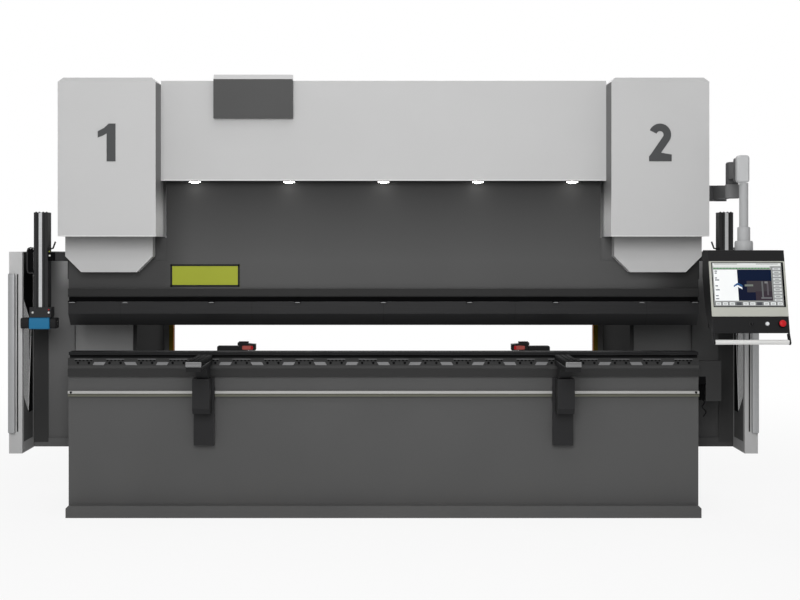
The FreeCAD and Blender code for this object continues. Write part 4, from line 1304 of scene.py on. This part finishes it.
@dataclass
class Lasers(Assembly):
    """Sensor columns on the ends of the ram and their laser heads."""

    scale_at: float = 2.183
    column_at: float = 2.180
    clamp_at: float = 2.112
    front: float = -0.045
    shell_cuts: Span = (0.18, 0.76)

    def column(self, side: Side) -> None:
        """Bright scale strip down the front of a column, cap screws, the fork's screws and a hook.

        Args:
            side: the column's side.
        """
        top = spans(side.node("laser_column"))[2][1]
        sign, front = side.value, self.front
        centre, middle = sign * self.scale_at, sign * self.column_at
        piece = Piece(side.node("column_scale"))
        piece.box((centre - 0.011, centre + 0.011), (front - 0.0015, front), (1.322, top - 0.002), ANODISED,
                  0.002, 0.0008, Y)
        for at in (-0.033, -0.012, 0.012, 0.033):
            piece.add(screw((middle + at, -0.030, top), 0.006, 0.004, Z, 1), MOULDED_BLACK)
        for at in (-0.050, 0.052):
            piece.add(screw((middle + at, -0.050, 1.288), 0.007, 0.005), BRIGHT_STEEL)
        piece.add(screw((middle - sign * 0.052, -0.050, 1.306), 0.0045, 0.005), STOP_RED)
        hook = [(2.222, 1.697), (2.246, 1.700), (2.259, 1.694), (2.264, 1.678), (2.264, 1.560),
                (2.259, 1.544), (2.246, 1.538), (2.226, 1.540)]
        piece.add(tube([(sign * away, front - 0.010, up) for away, up in hook], 0.0045), DEEP_GREY)
        piece.box(side.x(2.227, 2.261), (front - 0.006, front - 0.0045), (1.545, 1.694), LINER_BLACK,
                  0.004, 0.0005, Y)
        self.fit(piece, "ram_unit", "aluminium")
        black = replace(BLACK, name="column_black", colour=linear(44, 44, 45))
        self.dress(black, side.node("laser_column"))

    def clamp(self, side: Side) -> None:
        """Clamp block on the bracket, with its locking lever and a yellow dot.

        Args:
            side: the column's side.
        """
        sign, centre = side.value, side.value * self.clamp_at
        piece = Piece(side.node("column_lever"))
        piece.box((centre - 0.023, centre + 0.022), (-0.052, -0.040), (1.617, 1.670), LINER_BLACK,
                  0.004, 0.002, Y)
        lever = [(0.016, -0.050, 1.690), (-0.012, -0.054, 1.697), (-0.028, -0.058, 1.738)]
        piece.add(tube([(centre + sign * away, y, z) for away, y, z in lever], 0.0055), MOULDED_BLACK)
        for away, y, z, radius, head, finish in (
            (0.016, -0.040, 1.690, 0.014, 0.014, MOULDED_BLACK),
            (0.010, -0.052, 1.650, 0.006, 0.003, BRIGHT_STEEL),
            (0.012, -0.052, 1.676, 0.004, 0.003, SIGN_YELLOW),
        ):
            piece.add(screw((centre + sign * away, y, z), radius, head), finish)
        self.fit(piece, "ram_unit", "black_paint")

    def head(self, side: Side) -> None:
        """Laser head: a blue shell between dark ends, with a lens at the side of the tools.

        Args:
            side: the head's side.
        """
        x, y, z = spans(side.node("laser_head"))
        inner, outer = sorted(x, key=abs)
        cuts = [inner, *(inner + part * (outer - inner) for part in self.shell_cuts), outer]
        piece = Piece(side.node("laser_shell"))
        for *part, pad, finish in zip(cuts, cuts[1:], (0.004, 0.0, 0.004),
                                      (MOULDED_BLACK, LASER_BLUE, MOULDED_BLACK)):
            piece.box(sorted(part), (y[0] + pad, y[1] - pad), (z[0] + pad, z[1] - pad), finish,
                      0.012, 0.004, X)
        lens = to_axis(lathe([(0.020, 0.0), (0.020, 0.002), (0.014, 0.001), (0.001, 0.001)], 24), X)
        piece.add(lens * (-side.value, 1, 1) + (inner, 0, sum(z) / 2), LENS)
        self.fit(piece, "ram_unit", "laser_case", side.node("laser_head"))

    def build(self) -> None:
        """Build both sides."""
        for side in Side:
            self.column(side)
            self.clamp(side)
            self.head(side)
        LOG.info("laser columns and heads")


@dataclass
class Pendant(Assembly):
    """Swinging control pendant with its arm, screen, switches and grip."""

    tilt: float = math.radians(15)
    top: Span = (-0.860, 1.688)
    middle: float = 2.096
    half: float = 0.220
    long: float = 0.489
    deep: float = 0.135
    row: float = -0.435
    display: Span = (0.398, 0.256)
    cells: tuple[int, int] = (132, 88)
    grip_radius: float = 0.014
    cheek: float = 0.010
    elbow: Span = (2.140, -0.360)

    def __post_init__(self) -> None:
        """Work out the slope of the front and where its lower edge lies."""
        self.sine, self.cosine = math.sin(self.tilt), math.cos(self.tilt)
        self.foot = (self.top[0] - self.long * self.sine, self.top[1] - self.long * self.cosine)

    def on_front(self, grid: np.ndarray) -> np.ndarray:
        """Put local points (across, up from the top edge, out) on the tilted front."""
        basis = np.array([(1, 0, 0), (0, self.sine, self.cosine), (0, -self.cosine, self.sine)])
        return grid @ basis + (self.middle, *self.top)

    def knob(self, profile: list[Span], across: float, out: float = 0.001) -> np.ndarray:
        """A turned form in the row of switches on the front."""
        return self.on_front(lathe(profile) + (across, self.row, out))

    def case(self) -> None:
        """Moulded case: grey bezel with its black rim round the screen, and a black lower panel."""
        (y, z), (foot_y, foot_z), deep, half = self.top, self.foot, self.deep, self.half
        outline = [(y + 0.004, z), (y, z - 0.006), self.foot, (foot_y + 0.030, foot_z + 0.004),
                   (foot_y + 0.165, foot_z + 0.090), (y + deep, z - 0.160), (y + deep, z - 0.012),
                   (y + deep - 0.012, z)]
        piece = Piece("pendant_shell")
        piece.add(prism(outline, self.middle - half, self.middle + half, X), MOULDED_BLACK)
        for across, up, out, radius, edge, finish in (
            ((-half + 0.001, half - 0.001), (-0.392, -0.0665), (-0.002, 0.006), 0.004, 0.002, BEZEL),
            ((-half + 0.013, half - 0.012), (-0.338, -0.073), (0.0, 0.0064), 0.003, 0.0004, LINER_BLACK),
            ((-half + 0.014, half - 0.004), (-0.482, -0.398), (-0.001, 0.002), 0.006, 0.001, BLACK),
        ):
            piece.add(self.on_front(box_slab(*zip(across, up, out), radius, edge)), finish)
        self.fit(piece, "pendant", "cover_paint", "pendant_case")

    def picture(self) -> np.ndarray:
        """Paint a plain layout: a title bar, a list, a drawing and two rows of keys.

        Returns:
            Linear colours, by row and column of cells.
        """
        wide, tall = self.cells
        picture = np.empty((tall, wide, 3))
        picture[:] = linear(150, 152, 150)
        for left, right, upper, lower, colour in (
            (1, 131, 1, 7, (214, 216, 214)),
            (4, 48, 2, 3, (110, 112, 116)),
            (84, 126, 2, 3, (110, 112, 116)),
            (2, 110, 7, 10, (206, 208, 206)),
            (2, 110, 10, 13, (120, 142, 122)),
            (2, 50, 14, 77, (236, 238, 238)),
            (47, 112, 14, 77, (10, 18, 42)),
            (48, 112, 14, 35, (6, 20, 46)),
            (64, 112, 37, 60, (60, 56, 60)),
            (80, 112, 58, 77, (52, 44, 52)),
            (60, 76, 44, 48, (112, 118, 112)),
            (92, 95, 38, 72, (96, 98, 100)),
            (98, 104, 38, 42, (118, 118, 120)),
            (102, 105, 42, 66, (88, 84, 90)),
            (90, 110, 70, 73, (104, 104, 108)),
            (113, 131, 8, 77, (128, 130, 130)),
            (1, 131, 79, 87, (118, 120, 120)),
        ):
            picture[upper:lower, left:right] = linear(*colour)
        for start in range(3, 108, 6):
            picture[10:12, start:start + 3] = linear(60, 132, 74)
        for row in (16, 20, 30, 34, 46, 54, 66, 72):
            picture[row:row + 2, 4:8 + row % 5] = linear(70, 74, 84)
        for row in range(10, 76, 7):
            picture[row:row + 5, 115:130] = linear(196, 198, 198)
            picture[row + 2:row + 3, 118:126] = linear(70, 72, 76)
        for start in range(3, 128, 13):
            shade = (78, 80, 84) if start in (42, 81) else (214, 216, 216)
            picture[80:86, start:start + 10] = linear(*shade)
            picture[83:84, start + 2:start + 8] = linear(60, 62, 66)
        rows, columns = np.mgrid[0:tall, 0:wide]
        away = np.abs(columns - 47)
        for lift, colour in ((0, (44, 84, 130)), (5, (232, 236, 240))):
            chevron = np.abs(rows - 42 - lift - 0.62 * away) < 1.9
            picture[chevron & (away < 9 - lift / 3)] = linear(*colour)
        return picture

    def screen(self) -> None:
        """Touch screen whose picture is painted into the mesh's colours."""
        (wide, tall), (columns, rows) = self.display, self.cells
        across, up = np.meshgrid(np.linspace(-wide / 2, wide / 2, columns + 1) - 0.003,
                                 -0.0765 - np.linspace(0, tall, rows + 1))
        grid = np.stack([across, up, np.full_like(up, 0.0068)], axis=-1)
        index = np.arange(up.size).reshape(up.shape)
        quads = np.stack([index[1:, :-1], index[1:, 1:], index[:-1, 1:], index[:-1, :-1]], axis=-1)
        mesh = bpy.data.meshes.new("pendant_display")
        mesh.from_pydata(self.on_front(grid).reshape(-1, 3), [], quads.reshape(-1, 4).tolist())
        shades = np.ones((len(mesh.polygons), 4, 4))
        shades[..., :3] = self.picture().reshape(-1, 1, 3)
        layer = mesh.color_attributes.new("shade", "FLOAT_COLOR", "CORNER")
        layer.data.foreach_set("color", shades.ravel())
        mesh.materials.append(PaintedScreen("lit_screen").material(self.shared))
        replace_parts(hang("pendant_display", mesh, "pendant"), "pendant_screen")

    def switches(self) -> None:
        """Key switch, white button and red mushroom head on their collars."""
        collar = [(0.014, 0.0), (0.014, 0.003), (0.011, 0.004), (0.001, 0.004)]
        key = [(0.0075, 0.0), (0.0075, 0.010), (0.006, 0.012), (0.001, 0.012)]
        tab = box_slab((0.0015, self.row - 0.008, 0.014), (0.0065, self.row + 0.008, 0.017))
        dome = [(0.0105, 0.0), (0.0105, 0.006), (0.009, 0.009), (0.005, 0.0105), (0.001, 0.011)]
        small = Piece("pendant_buttons")
        small.add(self.knob(collar, 0.004), MOULDED_BLACK)
        small.add(self.knob(key, 0.004, 0.004), LINER_BLACK)
        small.add(self.on_front(tab), DEEP_GREY)
        small.add(self.knob([(radius * 0.9, z) for radius, z in collar], 0.094), DULL_STEEL)
        small.add(self.knob(dome, 0.094, 0.004), BUTTON_WHITE)
        self.fit(small, "pendant", "black_paint", "pendant_switches")
        ring = [(0.0225, 0.0), (0.0225, 0.003), (0.001, 0.003)]
        cap = [(0.010, 0.003), (0.010, 0.012), (0.019, 0.013)]
        cap += [(0.002 + 0.018 * math.cos(turn), 0.016 + 0.009 * math.sin(turn))
                for turn in np.linspace(0, np.pi / 2, 9)]
        stop = Piece("pendant_stop").add(self.knob(ring, 0.179), LINER_BLACK)
        self.fit(stop.add(self.knob(cap, 0.179), STOP_RED), "pendant", "stop_red", "stop_button")

    def grip(self) -> None:
        """Round bar between two side cheeks that curve down from the case.

        A cheek's outline runs from the case's lower edge round half a circle about the bar.
        """
        x, y, z = spans("pendant_handle")
        rounding = 0.016
        centre = np.array([y[0] + rounding, z[0] + rounding])
        path = [(at, *centre) for at in np.linspace(x[0] + 0.009, x[1] - 0.009, 8)]
        chrome = replace(ANODISED, name="grip_chrome", colour=linear(226, 226, 224), metallic=0.2)
        piece = Piece("pendant_grip").add(tube(path, self.grip_radius, 20), chrome)
        back = np.array(self.foot) + 0.030 * np.array([self.cosine, -self.sine])
        turn = np.linspace(np.pi, 2 * np.pi, 9)
        round_end = centre + rounding * np.stack([np.cos(turn), np.sin(turn)], axis=1)
        outline = np.concatenate([[self.foot], round_end, [back]])
        for start in (x[0], x[1] - self.cheek):
            piece.add(prism(outline, start, start + self.cheek, X), MOULDED_BLACK)
        self.fit(piece, "pendant", "aluminium", "pendant_handle")

    def lower_link(self) -> None:
        """Bracket with its web, and the lower cast link with two round bosses."""
        self.dress(ARM_DARK, "arm_bracket")
        web = Piece("arm_bracket_web")
        web.box((2.080, 2.1045), (-0.012, 0.012), (2.003, 2.090), ARM_DARK, 0.003, 0.002, Y)
        self.fit(web, "machine", "cover_paint")
        low, high = spans("arm_link_lower")[2]
        # Lower link: a copy of the castings' grey with less painted shade than ARM_DARK.
        link = replace(ARM_DARK, name="arm_link_shaded_grey", colour=linear(122, 122, 123))
        boss = [(0.001, low), (0.040, low), (0.043, low + 0.004), (0.043, high - 0.004), (0.040, high),
                (0.001, high)]
        waist = [(2.108, -0.360), (2.119, -0.250), (2.119, -0.110), (2.108, 0.0), (2.190, 0.0),
                 (2.178, -0.110), (2.172, -0.250), (2.180, -0.360)]
        piece = Piece("arm_casting_lower")
        for pivot in ((2.150, 0.0), self.elbow):
            piece.add(lathe(boss, 40) + (*pivot, 0), link)
        piece.add(prism(waist, low + 0.005, high - 0.005, Z), link)
        self.fit(piece, "arm_lower", "cover_paint", "arm_link_lower")

    def upper_link(self) -> None:
        """Upper cast link with its elbow and crown, and the turned mast."""
        elbow = [(0.001, 2.0903), (0.036, 2.0903), (0.039, 2.094), (0.039, 2.215), (0.034, 2.2235),
                 (0.020, 2.227), (0.001, 2.227)]
        beam = [(2.110, -0.360), (2.084, -0.700), (2.144, -0.700), (2.170, -0.360)]
        # Crown: a lighter copy of the castings' grey as painted light.
        crown = replace(ARM_GREY, name="arm_crown_lit_grey", colour=linear(196, 197, 198))
        piece = Piece("arm_casting_upper").add(lathe(elbow, 40) + (*self.elbow, 0), ARM_DARK)
        piece.add(prism(beam, 2.118, 2.214, Z), ARM_DARK)
        piece.box((2.059, 2.131), (-0.8185, -0.760), (2.081, 2.242), crown, 0.018, 0.010, Y)
        piece.box((2.064, 2.136), (-0.765, -0.690), (2.088, 2.232), ARM_DARK, 0.014, 0.006, Y)
        self.fit(piece, "arm_upper", "cover_paint", "arm_link_upper")
        mast = [(0.001, 1.688), (0.053, 1.688), (0.053, 1.730), (0.049, 1.742), (0.037, 1.743),
                (0.037, 1.818), (0.034, 1.823), (0.026, 1.824), (0.026, 2.080), (0.001, 2.080)]
        piece = Piece("mast_turned").add(lathe(mast, 40) + (2.105, -0.780, 0), ARM_GREY)
        self.fit(piece, "pendant", "cover_paint", "pendant_mast")

    def build(self) -> None:
        """Build the pendant and its arm."""
        self.case()
        self.screen()
        self.switches()
        self.grip()
        self.lower_link()
        self.upper_link()
        LOG.info("pendant and arm")


@dataclass
class Supports(Assembly):
    """Sheet supports that slide along the bright rail."""

    beam_tall: float = 0.030
    cap_deep: float = 0.010
    strips: int = 3

    def arm(self, side: Side) -> None:
        """Arm: dark beam, black profile with strips on top, and a grey end cap with dark slots.

        Args:
            side: the support's side.
        """
        x, y, z = spans(side.node("support_arm"))
        split, cap = z[0] + self.beam_tall, y[0] + self.cap_deep
        lid = replace(DULL_STEEL, name="profile_cap", colour=grey(138))
        piece = Piece(side.node("support_profile"))
        piece.box(x, (cap, y[1]), (z[0], split), BLACK, 0.003, 0.002, Y)
        piece.box(x, (cap, y[1]), (split, z[1] - 0.004), LINER_BLACK, 0.003, 0.0012, Y)
        piece.box(x, (y[0], cap), (split, z[1] - 0.002), lid, 0.004, 0.002, Y)
        for level in np.linspace(split + 0.006, z[1] - 0.010, 3):
            piece.box((x[0] + 0.004, x[1] - 0.004), (y[0] - 0.0008, y[0] + 0.001), (level, level + 0.0018),
                      BLACK, 0.0005, 0.0003, Y)
        wide = (x[1] - x[0]) / self.strips
        for at in range(self.strips):
            left = x[0] + at * wide + 0.003
            piece.box((left, left + wide - 0.006), (cap + 0.002, y[1]), (z[1] - 0.005, z[1]), LINER_BLACK,
                      0.002, 0.001, Y)
        self.fit(piece, side.node("support"), "aluminium", side.node("support_arm"))

    def build(self) -> None:
        """Dress both supports."""
        self.dress(replace(DEEP_GREY, name="carriage_paint", colour=linear(38, 38, 39)),
                   *pair("support_carriage"))
        for side in Side:
            self.arm(side)
        LOG.info("sheet supports")


@dataclass
class BackGauge(Assembly):
    """Back gauge beam, rails and fingers, and the posts of the rear light curtain."""

    finger_at: float = 1.012

    def finger(self, side: Side) -> None:
        """Finger: black arm and a shaped head with a red stop.

        Args:
            side: the finger's side.
        """
        low = spans(side.node("gauge_finger"))[2][0]
        foot, arm, rear, nose, cheek, tip, edge = (
            side.x(self.finger_at + start, self.finger_at + end) for start, end in
            ((-0.070, 0.075), (-0.067, 0.075), (-0.128, -0.067), (-0.177, -0.060), (-0.177, -0.128),
             (-0.161, -0.089), (-0.161, -0.145)))
        head = [(0.190, 1.028), (0.250, 1.028), (0.250, 1.076), (0.240, 1.086), (0.196, 1.086),
                (0.190, 1.080)]
        tops = (1.070, 1.080) if side is Side.LEFT else (1.080, 1.070)
        slope = [(nose[0], 1.062), (nose[1], 1.062), (nose[1], tops[0]), (nose[0], tops[1])]
        piece = Piece(side.node("gauge_stop"))
        piece.box(foot, (0.620, 0.760), (low, low + 0.030), BLACK, 0.004, 0.002)
        piece.box(arm, (0.200, 0.710), (low, low + 0.025), BLACK, 0.004, 0.002)
        piece.box(arm, (0.190, 0.250), (low, 1.058), MOULDED_BLACK, 0.010, 0.004, Y)
        piece.add(prism(head, *rear, X), MOULDED_BLACK)
        piece.add(prism(slope, 0.184, 0.246, Y), MOULDED_BLACK)
        piece.box(cheek, (0.192, 0.246), (1.028, 1.064), BLACK, 0.006, 0.003, Y)
        piece.box(tip, (0.180, 0.191), (1.033, 1.060), FINGER_RED, 0.008, 0.003, Y)
        piece.box(edge, (0.179, 0.181), (1.036, 1.058), STOP_RED, 0.004, 0.001, Y)
        self.fit(piece, side.node("finger"), "finger_black", side.node("gauge_finger"))

    def build(self) -> None:
        """Dress the gauge and the posts."""
        self.dress(BODY_GREY, "gauge_beam")
        self.dress(BRIGHT_STEEL, *pair("gauge_rail"))
        self.dress(replace(BODY_GREY, name="curtain_body", colour=grey(120)), *pair("light_curtain"))
        strips = Piece("curtain_strips")
        for side in Side:
            self.finger(side)
            _, (front, _), (foot, top) = spans(side.node("light_curtain"))
            # The posts' yellow paint: its face painted olive as shade, and a narrow strip of the yellow at
            # the inner edge, where it is lit.
            strips.box(side.x(1.574, 1.608), (front - 0.001, front + 0.034), (foot + 0.008, top - 0.008),
                       OLIVE, 0.001, 0.0005)
            strips.box(side.x(1.573, 1.581), (front - 0.002, front + 0.03), (foot + 0.01, top - 0.01),
                       SAFETY_YELLOW, 0.001, 0.0005)
        self.fit(strips, "machine", "yellow_paint")
        LOG.info("back gauge and light curtain")


@dataclass
class Rear(Assembly):
    """Side frames, cylinders, the oil tank and the cabinets' doors."""

    louvres: int = 9
    louvre_pitch: float = 0.024
    hatch_thick: float = 0.008

    def cabinet_door(self, side: Side) -> None:
        """Door sheet on the outer face of a cabinet, with louvres, a lock and hinges.

        Args:
            side: the cabinet's side.
        """
        face = max(spans(side.node("side_cabinet"))[0], key=abs)
        paint = Finish("cabinet_door_powder", grey(150), drift=0.05, wear_and_highlight=0.3, wear_and_highlight_colour=grey(190),
                       grime=0.2, grime_reach=0.9)
        levels = [top - at * self.louvre_pitch for top in (1.560, 0.420) for at in range(self.louvres)]
        sheets = [((0.440, 1.245), (0.170, 1.680), 0.0, 0.004, 0.006, paint)]
        sheets += [((0.620, 1.060), (level, level + 0.010), 0.002, 0.006, 0.004, MOULDED_BLACK)
                   for level in levels]
        sheets += [((0.470, 0.500), (0.860, 0.990), 0.004, 0.012, 0.008, MOULDED_BLACK)]
        piece = Piece(side.node("cabinet_door"))
        for y, z, start, thick, radius, finish in sheets:
            x = sorted(face + side.value * out for out in (start, start + thick))
            piece.box(x, y, z, finish, radius, min(thick / 2.5, 0.003), X)
        for level in (0.330, 0.925, 1.520):
            path = [(face + side.value * 0.007, 1.252, level + step) for step in (0.0, 0.03, 0.07)]
            piece.add(tube(path, 0.007), DULL_STEEL)
        self.fit(piece, "machine", "cover_paint")

    def tank_parts(self) -> None:
        """Hatch with its screws, filler cap, breather and level glass of the oil tank."""
        _, (_, back), (_, top) = spans("oil_tank")
        hatch = top + self.hatch_thick
        piece = Piece("tank_fittings")
        piece.box((-0.300, 0.300), (0.600, 1.020), (top, hatch), DEEP_GREY, 0.012, 0.002)
        for x in np.linspace(-0.275, 0.275, 6):
            for y in (0.625, 0.995):
                piece.add(screw((x, y, hatch), 0.009, 0.006, Z, 1), BRIGHT_STEEL)
        cap = [(0.034, 0.0), (0.034, 0.020), (0.046, 0.022), (0.046, 0.046), (0.041, 0.052), (0.001, 0.052)]
        for x, finish in ((0.520, MOULDED_BLACK), (-0.520, DULL_STEEL)):
            piece.add(lathe(cap, 28) + (x, 0.760, top), finish)
        piece.box((-0.030, 0.030), (back, back + 0.012), (2.150, 2.380), ANODISED, 0.010, 0.004, Y)
        piece.box((-0.014, 0.014), (back + 0.011, back + 0.015), (2.175, 2.355), OLIVE, 0.006, 0.002, Y)
        for x in (-1.2, 1.2):
            piece.add(screw((x, back, 2.100), 0.022, 0.018, Y, 1), DULL_STEEL)
        self.fit(piece, "machine", "dark_paint")

    def build(self) -> None:
        """Dress the frames, cylinders and tank and add their parts."""
        self.dress(replace(BODY_GREY, name="frame_paint", colour=grey(60), specular=0.02, roughness=0.8),
                   *pair("frame"))
        self.dress(DEEP_GREY, *pair("cylinder"))
        self.dress(BODY_GREY, "oil_tank")
        for side in Side:
            self.cabinet_door(side)
        self.tank_parts()
        LOG.info("frames, cylinders, tank and cabinet doors")


def main() -> None:
    """Build the studio and every sub-assembly in order."""
    logging.basicConfig(level=logging.INFO)
    Studio().build()
    shared = Effects()
    for kind in (Covers, Ram, Bed, Guards, Lasers, Pendant, Supports, BackGauge, Rear):
        kind(shared).build()


if __name__ == "__main__":
    main()
